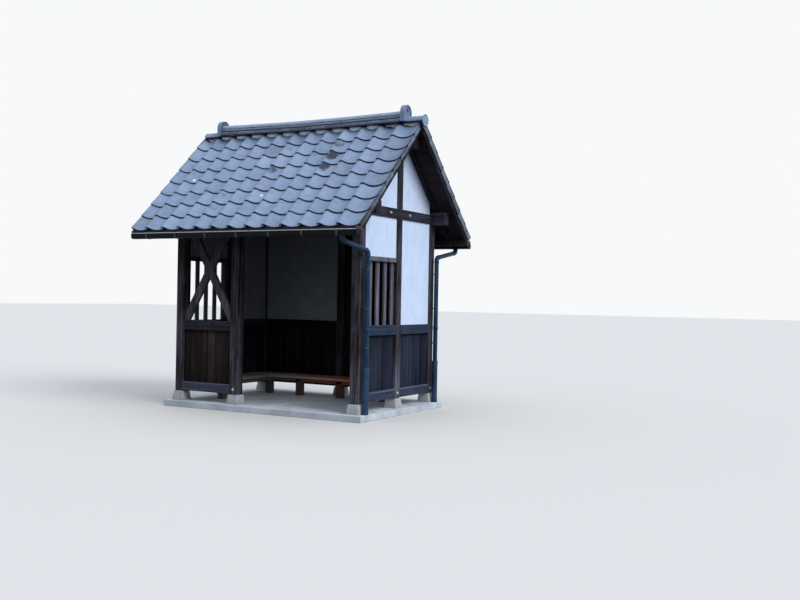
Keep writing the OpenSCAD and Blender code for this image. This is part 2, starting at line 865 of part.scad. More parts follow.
// Downpipe on the side of a corner post, with its swan neck back from the gutter outlet
module downpipe(side) {
    post_y = side * bay_w;
    guard_top = slab_t + guard_h;
    clip_step = (elbow_z - guard_top) / clip_count;
    outlet = [pipe_x, side * gutter_y, outlet_z];
    elbow = [pipe_x, post_y, elbow_z];
    difference() {
        union() {
            translate(outlet) cylinder(r = pipe_r, h = gutter_z - outlet_z);
            translate(outlet) sphere(r = pipe_r + socket_t);
            tube(outlet, elbow, pipe_r);
            translate(elbow) sphere(r = pipe_r + socket_t);
            tube([pipe_x, post_y, guard_top - 1], elbow, pipe_r);
            translate([pipe_x, post_y, slab_t + collar_at]) cylinder(r = pipe_r + socket_t, h = collar_h);
            translate([pipe_x, post_y, 0]) guard_tube();
            for (i = [1 : clip_count])
                translate([pipe_x, post_y, guard_top + clip_step * (i - 0.5)]) clip();
        }
        translate([-roof_half_w, side * gutter_y, gutter_z])
            rotate([0, 90, 0]) cylinder(r = gutter_out_r + tile_gap, h = roof_w, $fn = 48);
    }
}

// Wider tube over the foot of a downpipe, with a rim at each end
module guard_tube() {
    translate([0, 0, slab_t]) cylinder(r = guard_r, h = guard_h);
    for (z = [slab_t, slab_t + guard_h - guard_rim_h])
        translate([0, 0, z]) cylinder(r = guard_r + guard_rim_t, h = guard_rim_h);
}

// Clip round a downpipe with a stem to the post behind it
module clip() {
    cylinder(r = pipe_r + socket_t, h = clip_h);
    translate([-pipe_gap - pipe_r, -pipe_gap / 4, clip_h / 4])
        cube([pipe_gap + pipe_r, pipe_gap / 2, clip_h / 2]);
}

module downpipes() {
    color("#3d4d63")
        for (side = [-1, 1]) downpipe(side);
}

floor_slab();
footings();
post(-side_x, front_y, post_h);  // post_front_left
post(mid_post_x, front_y, post_h);  // post_front_middle
post(side_x, front_y, post_h);  // post_front_right
post(-side_x, 0, tie_z - post_z);  // post_gable_left
post(side_x, 0, tie_z - post_z);  // post_gable_right
post(-side_x, back_y, post_h);  // post_back_left
post(0, back_y, post_h);  // post_back_middle
post(side_x, back_y, post_h);  // post_back_right
sill_front();
sill_side(-side_x);  // sill_left
sill_side(side_x);  // sill_right
sill_back();
rail_front();
rail_side(-side_x);  // rail_left
rail_side(side_x);  // rail_right
rail_back();
window(-side_x);  // window_left
window(side_x);  // window_right
cross_brace();
tie_beam(-side_x);  // tie_beam_left
tie_beam(side_x);  // tie_beam_right
wall_plate(front_y);  // wall_plate_front
wall_plate(back_y);  // wall_plate_back
king_posts();
ridge_beam();
rotate([0, 0, 180]) rafters(front_shift);  // rafters_front
rafters(0);  // rafters_back
rotate([0, 0, 180]) roof_boards(front_shift);  // roof_boards_front
roof_boards(0);  // roof_boards_back
plaster_side(-side_x);  // plaster_left
plaster_side(side_x);  // plaster_right
plaster_back();
boards_front();
boards_side(-side_x);  // boards_left
boards_side(side_x);  // boards_right
boards_back();
bench();
slope_tiles(front_shift);  // roof_tiles_front
rotate([0, 0, 180]) slope_tiles(0);  // roof_tiles_back
ridge_tiles();
ridge_end_tiles();
gutters();
downpipes();
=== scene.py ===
"""Visual model of a timber bus shelter with a pantiled gable roof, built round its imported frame.

The timber frame, plaster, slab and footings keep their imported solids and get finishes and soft
edges. Roof tiles, ridge, wall boards, bench, gutters, downpipes and bolts are surfaces that are
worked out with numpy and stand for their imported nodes. Everything is in metres.
"""
import logging
import math
from dataclasses import dataclass
from enum import Enum

import bpy
import numpy as np
from mathutils import Matrix


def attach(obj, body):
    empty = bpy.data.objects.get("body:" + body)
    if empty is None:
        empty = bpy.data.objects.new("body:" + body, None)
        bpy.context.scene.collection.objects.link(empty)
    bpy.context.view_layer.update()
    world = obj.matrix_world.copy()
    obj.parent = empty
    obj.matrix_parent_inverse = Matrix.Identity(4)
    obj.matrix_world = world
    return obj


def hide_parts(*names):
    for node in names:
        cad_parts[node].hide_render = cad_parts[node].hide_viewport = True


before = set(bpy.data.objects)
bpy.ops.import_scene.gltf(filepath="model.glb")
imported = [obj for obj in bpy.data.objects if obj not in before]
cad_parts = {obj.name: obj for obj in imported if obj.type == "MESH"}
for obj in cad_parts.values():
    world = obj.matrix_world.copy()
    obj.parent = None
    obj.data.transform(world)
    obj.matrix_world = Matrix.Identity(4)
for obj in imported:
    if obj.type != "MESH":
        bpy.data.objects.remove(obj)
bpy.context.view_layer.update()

log = logging.getLogger("shelter")

BODY = "root"
GRAIN_SHIFT = 9.0

Material = bpy.types.Material
Tree = bpy.types.NodeTree
Socket = bpy.types.NodeSocket
Point = tuple[float, float, float]
Pair = tuple[float, float]


# Finishes


def linear(hex_colour: str) -> tuple[float, float, float, float]:
    """Turns an sRGB hex colour to the linear one that Blender works with.

    Args:
        hex_colour: six hex digits after a hash sign.

    Returns:
        Linear red, green, blue and an alpha of one.
    """
    parts = [int(hex_colour[i:i + 2], 16) / 255 for i in (1, 3, 5)]
    red, green, blue = [p / 12.92 if p <= 0.04045 else ((p + 0.055) / 1.055) ** 2.4 for p in parts]
    return red, green, blue, 1.0


def add(tree: Tree, kind: str, inputs: dict | tuple = (), ramp: tuple | None = None,
        **settings: object) -> Socket:
    """Adds one shader node with its settings, its values and its links.

    Args:
        tree: node tree that takes the node.
        kind: node type without the leading ShaderNode.
        inputs: a value or the socket that feeds it, by input name or else in order.
        ramp: position and hex colour of each stop, for a colour ramp.
        settings: properties of the node; "out" names the output to return.

    Returns:
        The named output, or else the first one in use.
    """
    node = tree.nodes.new("ShaderNode" + kind)
    out = settings.pop("out", None)
    for name, value in settings.items():
        setattr(node, name, value)
    if ramp:
        stops = node.color_ramp.elements
        stops[0].position, stops[0].color = ramp[0][0], linear(ramp[0][1])
        stops[1].position, stops[1].color = ramp[-1][0], linear(ramp[-1][1])
        for position, colour in ramp[1:-1]:
            stops.new(position).color = linear(colour)
    for key, value in inputs.items() if isinstance(inputs, dict) else enumerate(inputs):
        socket = (node.inputs[key] if isinstance(key, int) else
                  next(s for s in node.inputs if s.name == key and s.enabled))
        if isinstance(value, Socket):
            tree.links.new(value, socket)
        else:
            socket.default_value = value
    return node.outputs[out] if out else next((s for s in node.outputs if s.enabled), None)


class Grain(Enum):
    """Where a finish takes its lengthwise direction from, as a turn that lays it on X."""

    ALONG_X = (0.0, 0.0, 0.0)
    ALONG_Y = (0.0, 0.0, -math.pi / 2)
    ALONG_Z = (0.0, math.pi / 2, 0.0)
    PIECE = ()


def new_material(name: str) -> tuple[Material, Tree, Socket]:
    """Makes an empty node material.

    Args:
        name: name of the material.

    Returns:
        The material, its node tree and the position that its patterns read.
    """
    material = bpy.data.materials.new(name)
    material.use_nodes = True
    tree = material.node_tree
    tree.nodes.clear()
    return material, tree, add(tree, "TexCoord", out="Object")


def within(tree: Tree, place: Socket, room: tuple[float, ...]) -> Socket:
    """Tells whether a position lies inside a box about the origin.

    Args:
        tree: node tree of the material.
        place: the position.
        room: half size of the box along X, Y and, where given, Z.

    Returns:
        One inside the box and else zero.
    """
    share = 1.0
    for axis, limit in zip("XYZ", room):
        far = add(tree, "SeparateXYZ", (place,), out=axis)
        far = add(tree, "Math", (far,), operation="ABSOLUTE")
        near = add(tree, "Math", (far, limit), operation="LESS_THAN")
        share = add(tree, "Math", (near, share), operation="MULTIPLY")
    return share


def surface(tree: Tree, colour: Socket, coats: list[tuple], height: Socket, relief: float,
            **values: object) -> None:
    """Ends a material: coats over its colour, a bump, one Principled shader and the output.

    Args:
        tree: node tree of the material.
        colour: base colour under the coats.
        coats: share of each coat and its hex colour or socket; a share of None multiplies.
        height: height pattern, from 0 to 1.
        relief: depth of the pattern in metres.
        values: other inputs of the shader by name, with underscores for spaces.
    """
    for share, coat in coats:
        colour = add(tree, "Mix", {"Factor": 1.0 if share is None else share, "A": colour,
                                   "B": linear(coat) if isinstance(coat, str) else coat},
                     data_type="RGBA", blend_type="MULTIPLY" if share is None else "MIX")
    bump = add(tree, "Bump", {"Height": height, "Distance": relief, "Strength": 1.0})
    inputs = {"Base Color": colour, "Normal": bump}
    inputs.update({name.replace("_", " "): value for name, value in values.items()})
    shader = add(tree, "BsdfPrincipled", inputs)
    add(tree, "OutputMaterial", {"Surface": shader})


@dataclass(frozen=True)
class StainedCedar:
    """Japanese cedar, sawn and brushed, then stained near black and left to the weather.

    The stain wears off the hard rings first, which gives long pale streaks 10 to 40 mm wide and a
    greyer foot where rain splashes. Fibres of 3 mm are the finest that show close by. Faces that
    look up take a share of grey, partly grime that settles there and partly a painted highlight.
    Between two X a painted shade of grey fades out along the piece, and inside the room's half
    sizes and height a painted shade sets the brightness.
    """

    name: str
    grain: Grain
    dark: str
    middle: str
    pale: str
    worn: str = "#68656e"
    streaks_per_metre: float = 26.0
    wear: float = 0.30
    foot: float = 0.55
    stops: Point = (0.30, 0.50, 0.72)
    dust_and_top_highlight: float = 0.0
    painted_shade_x: Pair = (0.0, 0.0)
    painted_shade_indoors: float = 0.6
    shine: float = 0.05
    room: Point = (1.345, 0.890, 2.52)

    def build(self) -> Material:
        """Makes the material.

        Returns:
            The material, with its grain along the chosen direction.
        """
        material, tree, place = new_material(self.name)
        tones = []
        if self.grain is Grain.PIECE:
            source = add(tree, "Attribute", attribute_name="grain", out="Vector")
            tone = add(tree, "Attribute", attribute_name="tone", out="Fac")
            tones.append((None, add(tree, "Math", (tone, 1.0), operation="ADD")))
        else:
            source = add(tree, "Mapping", {"Vector": place, "Rotation": self.grain.value})
        across = self.streaks_per_metre
        streaks, fibres, blotch = (
            add(tree, "TexNoise", {
                "Vector": add(tree, "VectorMath", (base, scale), operation="MULTIPLY"),
                "Scale": 1.0, "Detail": detail, "Roughness": rough, "Distortion": bent})
            for base, scale, detail, rough, bent in (
                (source, (1.1, across, across), 5.0, 0.62, 0.5),
                (source, (7.0, 330.0, 330.0), 2.0, 0.7, 0.0),
                (place, (2.2, 2.2, 1.3), 4.0, 0.6, 0.0)))
        stain = add(tree, "ValToRGB", (streaks,),
                    ramp=tuple(zip(self.stops, (self.dark, self.middle, self.pale))))
        height = add(tree, "SeparateXYZ", (place,), out="Z")
        splash = add(tree, "MapRange", (height, 0.2, 1.0, self.foot, 0.0))
        weather = add(tree, "MapRange", (blotch, 0.42, 0.72, 0.0, self.wear))
        weather = add(tree, "Math", (splash, blotch, weather), operation="MULTIPLY_ADD")
        grey = add(tree, "Math", (weather, streaks), operation="MULTIPLY")
        coats = [(None, add(tree, "MapRange", (fibres, 0.3, 0.7, 0.78, 1.16))), (grey, self.worn)]
        # Faces that look up turn grey: partly grime that settles there, partly a painted
        # highlight.
        if self.dust_and_top_highlight > 0:
            facing = add(tree, "SeparateXYZ", (add(tree, "TexCoord", out="Normal"),), out="Z")
            coats.append((add(tree, "MapRange", (facing, 0.5, 0.9, 0.0, self.dust_and_top_highlight)), self.worn))
        # Painted shade: between two X the stain turns grey, most at the first.
        if self.painted_shade_x[1] > self.painted_shade_x[0]:
            along = add(tree, "SeparateXYZ", (place,), out="X")
            coats.append((add(tree, "MapRange", (along, *self.painted_shade_x, 0.85, 0.0)), self.worn))
        # Painted shade: faces inside the room's box are darkened to a set level.
        painted_shade_indoors = within(tree, place, self.room)
        coats += [*tones, (None, add(tree, "MapRange", (painted_shade_indoors, 0.0, 1.0, 1.0, self.painted_shade_indoors)))]
        rough = add(tree, "MapRange", (streaks, 0.3, 0.7, 0.58, 0.8))
        relief = add(tree, "Math", (streaks, 0.7, fibres), operation="MULTIPLY_ADD")
        surface(tree, stain, coats, relief, 0.0012, Roughness=rough,
                Specular_IOR_Level=self.shine)
        return material


@dataclass(frozen=True)
class LimePlaster:
    """Smooth lime plaster, trowelled by hand and slightly chalky.

    Trowel strokes leave waves about 150 mm long and under a millimetre deep. Rain leaves faint
    grey runs, and the faces inside the walls' half sizes take a grey painted shade.
    """

    name: str = "lime_plaster_trowelled"
    clean: str = "#dfebfd"
    shaded: str = "#d5e2f8"
    stain: str = "#b4c2da"
    # Painted shade: the dark greys that the faces inside the walls take.
    inside: str = "#747577"
    inside_pale: str = "#7d7f81"
    dirt: float = 0.08
    walls: Pair = (1.365, 0.910)

    def build(self) -> Material:
        """Makes the material.

        Returns:
            The material.
        """
        material, tree, place = new_material(self.name)
        trowel, runs = (
            add(tree, "TexNoise", {
                "Vector": add(tree, "VectorMath", (place, scale), operation="MULTIPLY"),
                "Scale": 1.0, "Detail": detail, "Roughness": rough})
            for scale, detail, rough in (((7.0, 7.0, 5.0), 3.0, 0.55),
                                         ((9.0, 9.0, 2.6), 4.0, 0.65)))
        grit = add(tree, "TexNoise", {"Vector": place, "Scale": 420.0, "Detail": 2.0})
        body = add(tree, "ValToRGB", (trowel,), ramp=((0.3, self.shaded), (0.6, self.clean)))
        # Painted shade: faces inside the walls are given this dark grey.
        painted_shade_grey = add(tree, "ValToRGB", (trowel,),
                    ramp=((0.3, self.inside), (0.7, self.inside_pale)))
        coats = [(add(tree, "MapRange", (runs, 0.56, 0.85, 0.0, self.dirt)), self.stain),
                 (within(tree, place, self.walls), painted_shade_grey)]
        relief = add(tree, "Math", (grit, 0.15, trowel), operation="MULTIPLY_ADD")
        surface(tree, body, coats, relief, 0.0012, Roughness=0.86)
        return material


@dataclass(frozen=True)
class SmokedTile:
    """Smoked clay roof tile, pressed, fired and coated with carbon in the kiln.

    The carbon skin is a satin blue grey with clouds a hand wide. Its front edge and underside
    take a painted shade, and a painted shadow lies under the nose of the tile above. Some tiles
    have lost skin in dark patches near their upper left, and two carry a pale spot of lichen.
    Cover is the exposed length, and plate holds the two |X| up to which the faces of an end tile
    take a painted shade: its back and its sunk field.
    """

    name: str = "smoked_clay_tile"
    black: str = "#333b4a"
    dark: str = "#6a798e"
    middle: str = "#8192ab"
    pale: str = "#98a8be"
    # Colour of the painted shade and of the worn patches.
    painted_shade_and_patch: str = "#0e1730"
    lichen: str = "#f2f5f7"
    spots: tuple[Point, ...] = ((-1.4227, -0.6637, 3.0326), (-0.0724, -0.9447, 2.7522))
    cover: float = 0.2457
    plate: Pair = (0.0, 0.0)

    def build(self) -> Material:
        """Makes the material.

        Returns:
            The material, which reads the attributes grain and tone.
        """
        material, tree, place = new_material(self.name)
        local = add(tree, "Attribute", attribute_name="grain", out="Vector")
        tone = add(tree, "Attribute", attribute_name="tone", out="Fac")
        cloud = add(tree, "TexNoise", {"Vector": place, "Scale": 9.0, "Detail": 4.0,
                                       "Roughness": 0.6})
        grit = add(tree, "TexNoise", {"Vector": place, "Scale": 260.0, "Detail": 2.0})
        shade = add(tree, "Math", (cloud, 0.6, tone), operation="MULTIPLY_ADD")
        skin = add(tree, "ValToRGB", (shade,),
                   ramp=((0.0, self.black), (0.2, self.dark), (0.45, self.middle),
                         (0.8, self.pale)))
        if self.plate[1] > 0:
            # Painted shade on flat end faces: 0.7 on the back, 0.3 in the sunk field,
            # none on the rim.
            facing = add(tree, "SeparateXYZ", (add(tree, "TexCoord", out="Normal"),), out="X")
            facing = add(tree, "Math", (facing,), operation="ABSOLUTE")
            painted_shade_and_patch_share = add(tree, "Math", (facing, 0.9), operation="GREATER_THAN")
            back, sunk = (within(tree, place, (limit,)) for limit in self.plate)
            back = add(tree, "Math", (back, 0.4, 0.3), operation="MULTIPLY_ADD")
            for share in (back, sunk):
                painted_shade_and_patch_share = add(tree, "Math", (painted_shade_and_patch_share, share), operation="MULTIPLY")
        else:
            # Painted shade: a shadow under the nose of the tile above and the shade that each tile
            # marks; worn patches are real.
            up_slope, patch_and_painted_shade = (add(tree, "SeparateXYZ", (local,), out=axis) for axis in "YZ")
            painted_nose_shadow = add(tree, "MapRange", (up_slope, self.cover - 0.030, self.cover - 0.008,
                                              0.0, 0.9))
            painted_shade_and_patch_share = add(tree, "Math", (patch_and_painted_shade, painted_nose_shadow), operation="MAXIMUM")
            painted_shade_and_patch_share = add(tree, "Math", (cloud, 1.2, painted_shade_and_patch_share), operation="MULTIPLY_ADD")
            painted_shade_and_patch_share = add(tree, "MapRange", (painted_shade_and_patch_share, 0.95, 1.35, 0.0, 0.96))
        coats = [(painted_shade_and_patch_share, self.painted_shade_and_patch)]
        for spot in self.spots:
            away = add(tree, "VectorMath", (place, spot), operation="DISTANCE", out="Value")
            away = add(tree, "Math", (cloud, 0.03, away), operation="MULTIPLY_ADD")
            coats.append((add(tree, "MapRange", (away, 0.032, 0.046, 0.95, 0.0)), self.lichen))
        rough = add(tree, "MapRange", (cloud, 0.3, 0.7, 0.42, 0.58))
        relief = add(tree, "Math", (grit, 0.2, cloud), operation="MULTIPLY_ADD")
        surface(tree, skin, coats, relief, 0.001, Roughness=rough)
        return material


@dataclass(frozen=True)
class Cast:
    """A cast or moulded body with one colour range: concrete, mortar, vinyl or zinc.

    Coarse clouds of the clouds_per_metre scale carry the colour, and a fine grit the roughness.
    The foot colour shows near the ground, and the shade colour is a painted shade above the
    heights shade_z, under a ledge.
    """

    name: str
    dark: str
    middle: str
    pale: str
    clouds_per_metre: float
    grit_per_metre: float
    relief: float
    roughness: float
    metal: float = 0.0
    shine: float = 0.5
    foot: str = ""
    shade: str = ""
    shade_z: Pair = (0.0, 0.0)

    def build(self) -> Material:
        """Makes the material.

        Returns:
            The material.
        """
        material, tree, place = new_material(self.name)
        cloud = add(tree, "TexNoise", {"Vector": place, "Scale": self.clouds_per_metre,
                                       "Detail": 5.0, "Roughness": 0.6, "Distortion": 0.3})
        grit = add(tree, "TexNoise", {"Vector": place, "Scale": self.grit_per_metre,
                                      "Detail": 3.0, "Roughness": 0.6})
        body = add(tree, "ValToRGB", (cloud,),
                   ramp=((0.3, self.dark), (0.5, self.middle), (0.72, self.pale)))
        height = add(tree, "SeparateXYZ", (place,), out="Z")
        coats = [(None, add(tree, "MapRange", (grit, 0.3, 0.7, 0.9, 1.08)))]
        if self.foot:
            damp = add(tree, "MapRange", (height, 0.08, 0.16, 0.75, 0.0))
            coats.append((add(tree, "Math", (damp, cloud), operation="MULTIPLY"), self.foot))
        if self.shade:
            coats.append((add(tree, "MapRange", (height, *self.shade_z, 0.0, 0.92)), self.shade))
        rough = add(tree, "MapRange", (cloud, 0.3, 0.7, self.roughness - 0.07,
                                       self.roughness + 0.07))
        relief = add(tree, "Math", (grit, 0.4, cloud), operation="MULTIPLY_ADD")
        surface(tree, body, coats, relief, self.relief, Roughness=rough, Metallic=self.metal,
                Specular_IOR_Level=self.shine)
        return material


# Surfaces


@dataclass
class Shell:
    """One closed surface, with what its finish reads at each point."""

    points: np.ndarray
    quads: np.ndarray
    grain: np.ndarray
    tone: np.ndarray


def loft(rings: np.ndarray, grain: np.ndarray | None = None, tone: float = 0.0) -> Shell:
    """Closed surface through a row of rings that have the same even number of points.

    Point j of a ring joins point j+1 and point j of the next ring. An end is closed by a strip of
    quads that pairs point j with point k-1-j. The faces are turned over if the volume that they
    enclose, a sixth of the sum of a.(b x c) over their triangles, comes out negative.

    Args:
        rings: points by ring, point and axis.
        grain: what the finish reads at each point, in the same shape; by default X alone, which
            no tile finish takes for an underside.
        tone: shade of the piece against its fellows.

    Returns:
        The surface with outward faces.
    """
    grain = rings * (1, 0, 0) if grain is None else grain
    count, size, _ = rings.shape
    index = np.arange(count * size).reshape(count, size)
    near, far = index[:-1], index[1:]
    sides = np.stack([near, np.roll(near, -1, 1), np.roll(far, -1, 1), far], -1).reshape(-1, 4)
    j = np.arange(size // 2 - 1)
    head, tail = (np.stack([end[j], end[size - 1 - j], end[size - 2 - j], end[j + 1]], -1)
                  for end in (index[0], index[-1]))
    quads = np.concatenate([sides, head, tail[:, [0, 3, 2, 1]]])
    points = rings.reshape(-1, 3)
    a, b, c, d = (points[quads[:, i]] for i in range(4))
    volume = np.einsum("ij,ij->", a, np.cross(b, c)) + np.einsum("ij,ij->", a, np.cross(c, d))
    if volume < 0:
        quads = quads[:, ::-1]
    return Shell(points, quads, grain.reshape(-1, 3), np.full(len(points), tone))


def bar(centre: tuple, along: tuple, across: tuple, through: tuple, edge: float,
        tone: float = 0.0, shift: float = 0.0) -> Shell:
    """Straight bar whose section is a rectangle with its four corners cut off.

    Four rings: both ends drawn in by the edge, and the full section an edge further on.

    Args:
        centre: middle of the bar.
        along: its length as a vector.
        across: its width as a vector.
        through: its thickness as a vector.
        edge: width of the softened edge.
        tone: shade of the piece.
        shift: distance that the grain is moved, so that neighbours differ.

    Returns:
        The surface.
    """
    axes = np.array([along, across, through], float)
    size = np.linalg.norm(axes, axis=1)
    axes /= size[:, None]
    length, wide, thick = size / 2
    corner = np.array([(wide - edge, thick), (wide, thick - edge)])
    section = np.concatenate([corner, corner[::-1] * (1, -1), corner * (-1, -1),
                              corner[::-1] * (-1, 1)])
    inset = section * ((wide - edge) / wide, (thick - edge) / thick)
    stations = np.array([-length, -length + edge, length - edge, length])
    flat = np.stack([inset, section, section, inset])
    local = np.concatenate([np.repeat(stations[:, None, None], 8, 1), flat], -1)
    rings = np.array(centre, float) + local @ axes
    return loft(rings, local + np.array([shift, shift * 0.37, 0.0]), tone)


def circles(path: np.ndarray, radii: tuple | np.ndarray, side: Point, sides: int,
            ahead: Point | None = None) -> np.ndarray:
    """Rings for a round body: at each path point a circle of the radius there.

    The circle is first cos(t) + second sin(t), where first is the given side direction and second
    the cross product of the path's direction and that side.

    Args:
        path: points of the centre line.
        radii: radius at each point.
        side: direction that is square to the whole path.
        sides: points in a ring, an even number.
        ahead: the path's direction, where its points don't give it.

    Returns:
        Points by ring, point and axis.
    """
    path = np.asarray(path, float)
    ahead = np.gradient(path, axis=0) if ahead is None else np.full(path.shape, ahead, float)
    ahead /= np.linalg.norm(ahead, axis=1)[:, None]
    first = np.array(side, float)
    second = np.cross(ahead, first)
    turn = np.pi / sides + np.arange(sides) * 2 * np.pi / sides
    circle = (np.cos(turn)[None, :, None] * first
              + np.sin(turn)[None, :, None] * second[:, None, :])
    return path[:, None, :] + np.asarray(radii, float)[:, None, None] * circle


def tube(path: np.ndarray, radii: tuple | np.ndarray, side: Point, sides: int,
         tone: float = 0.0, ahead: Point | None = None) -> Shell:
    """Round tube along a path, closed at both ends.

    Args:
        path: points of the centre line.
        radii: radius at each point.
        side: direction that is square to the whole path.
        sides: points in a ring, an even number.
        tone: shade of the piece.
        ahead: the path's direction, where its points don't give it.

    Returns:
        The surface.
    """
    return loft(circles(path, radii, side, sides, ahead), None, tone)


def extrude(section: np.ndarray, stations: np.ndarray | tuple, scale: tuple | None = None,
            tone: float = 0.0, lift: np.ndarray | float = 0.0,
            painted_shade_and_patch: np.ndarray | float = 0.0) -> Shell:
    """Carries a section in the YZ plane along X.

    Args:
        section: Y and Z of each point, an even number of points.
        stations: X of each ring.
        scale: growth of the section about its middle at each ring.
        tone: shade of the piece.
        lift: height that each ring is raised by.
        painted_shade_and_patch: share of painted shade that a tile finish takes at each point of
        the section, from 0 to 1.

    Returns:
        The surface.
    """
    stations = np.asarray(stations, float)
    growth = np.ones(len(stations)) if scale is None else np.asarray(scale, float)
    middle = section.mean(0)
    flat = middle + (section - middle)[None] * growth[:, None, None]
    flat[..., 1] += np.broadcast_to(lift, stations.shape)[:, None]
    x = np.repeat(stations[:, None, None], len(section), 1)
    dark = np.broadcast_to(np.asarray(painted_shade_and_patch, float), x.shape[:2])
    return loft(np.concatenate([x, flat], -1), np.stack([x[..., 0], 0 * dark, dark], -1), tone)


def rounded_path(corners: list[tuple], radius: float, steps: int) -> np.ndarray:
    """Centre line that follows straight legs and turns on arcs at the corners between them.

    At a corner the arc is the quadratic curve (1-t)^2 a + 2t(1-t) c + t^2 b between the points a
    and b that lie one radius before and after the corner c.

    Args:
        corners: ends and corners in order.
        radius: distance from a corner to the start of its curve.
        steps: points on a curve.

    Returns:
        The points of the path.
    """
    spots = np.array(corners, float)
    t = np.linspace(0, 1, steps)[:, None]
    parts = [spots[:1]]
    for before, corner, after in zip(spots[:-2], spots[1:-1], spots[2:]):
        a, b = (corner + (end - corner) / np.linalg.norm(end - corner) * radius
                for end in (before, after))
        parts.append((1 - t) ** 2 * a + 2 * t * (1 - t) * corner + t ** 2 * b)
    return np.concatenate([*parts, spots[-1:]])


def make_piece(name: str, shells: list[Shell], material: Material,
               stands_for: tuple[str, ...] = (), smooth: float = 40.0) -> None:
    """Joins shells to one mesh object at the origin that rides on the frame.

    Args:
        name: name of the piece.
        shells: its closed surfaces.
        material: its finish.
        stands_for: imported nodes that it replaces.
        smooth: largest angle between faces that is shaded round, in degrees.
    """
    starts = np.cumsum([0] + [len(s.points) for s in shells[:-1]])
    quads = np.concatenate([s.quads + start for s, start in zip(shells, starts)])
    mesh = bpy.data.meshes.new(name)
    mesh.from_pydata(np.concatenate([s.points for s in shells]), [], quads)
    for kind, layer, store in (("FLOAT_VECTOR", "grain", "vector"), ("FLOAT", "tone", "value")):
        values = np.concatenate([getattr(s, layer) for s in shells])
        mesh.attributes.new(layer, kind, "POINT").data.foreach_set(
            store, values.astype(np.float32).ravel())
    mesh.materials.append(material)
    mesh.validate()
    mesh.shade_smooth()
    mesh.set_sharp_from_angle(angle=math.radians(smooth))
    piece = bpy.data.objects.new(name, mesh)
    bpy.context.scene.collection.objects.link(piece)
    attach(piece, BODY)
    if stands_for:
        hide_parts(*stands_for)
    log.info("%s: %d faces", name, len(quads))


def dress_node(node: str, material: Material, edge: float) -> None:
    """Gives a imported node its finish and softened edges.

    The node's loose triangles are welded by a modifier first, so that the bevel finds its edges.

    Args:
        node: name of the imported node.
        material: its finish.
        edge: width of the softened edges in metres.
    """
    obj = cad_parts[node]
    obj.data.materials.clear()
    obj.data.materials.append(material)
    weld = obj.modifiers.new("weld", "WELD")
    weld.merge_threshold = 0.0001
    bevel = obj.modifiers.new("soft_edges", "BEVEL")
    bevel.width = edge
    bevel.segments = 2
    bevel.limit_method = "ANGLE"
    bevel.angle_limit = math.radians(40)
    log.info("%s: packed node", node)


# Shared sizes


@dataclass(frozen=True)
class Plan:
    """Sizes that several sub-assemblies share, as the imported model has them."""

    bay: float = 0.910
    side_x: float = 1.365
    half_post: float = 0.060
    slab: float = 0.080
    sill_top: float = 0.325
    rail_low: float = 1.018
    rail_top: float = 1.138
    plate_z: float = 2.480
    roof_half: float = 1.750
    front_shift: float = 0.050
    eave_y: float = 1.449
    tile_width: float = 0.267
    gutter_y: float = 1.4908
    gutter_z: float = 2.256057


@dataclass(frozen=True)
class Slope:
    """One side of the roof as its own right-handed space: x across, s down the slope, n inwards.

    On the front slope X = x + shift, Y = -(s cos p - n sin p) and Z = apex - s sin p - n cos p
    with the pitch p, and the back slope is the same turned half round the vertical axis.
    """

    turn: int = 1
    shift: float = 0.0
    pitch: float = math.radians(44.23)
    apex: float = 3.757131

    def place(self, x: np.ndarray, s: np.ndarray, n: np.ndarray) -> np.ndarray:
        """Turns slope positions to the row frame.

        Args:
            x: distance across the slope.
            s: distance down the slope from the crest line.
            n: depth below the plane of the tile crests.

        Returns:
            Points with a last axis of X, Y and Z.
        """
        x, s, n = np.broadcast_arrays(x, s, n)
        level = s * math.cos(self.pitch) - n * math.sin(self.pitch)
        fall = s * math.sin(self.pitch) + n * math.cos(self.pitch)
        return np.stack([self.turn * x + self.shift, -self.turn * level, self.apex - fall], -1)


# Sub-assemblies


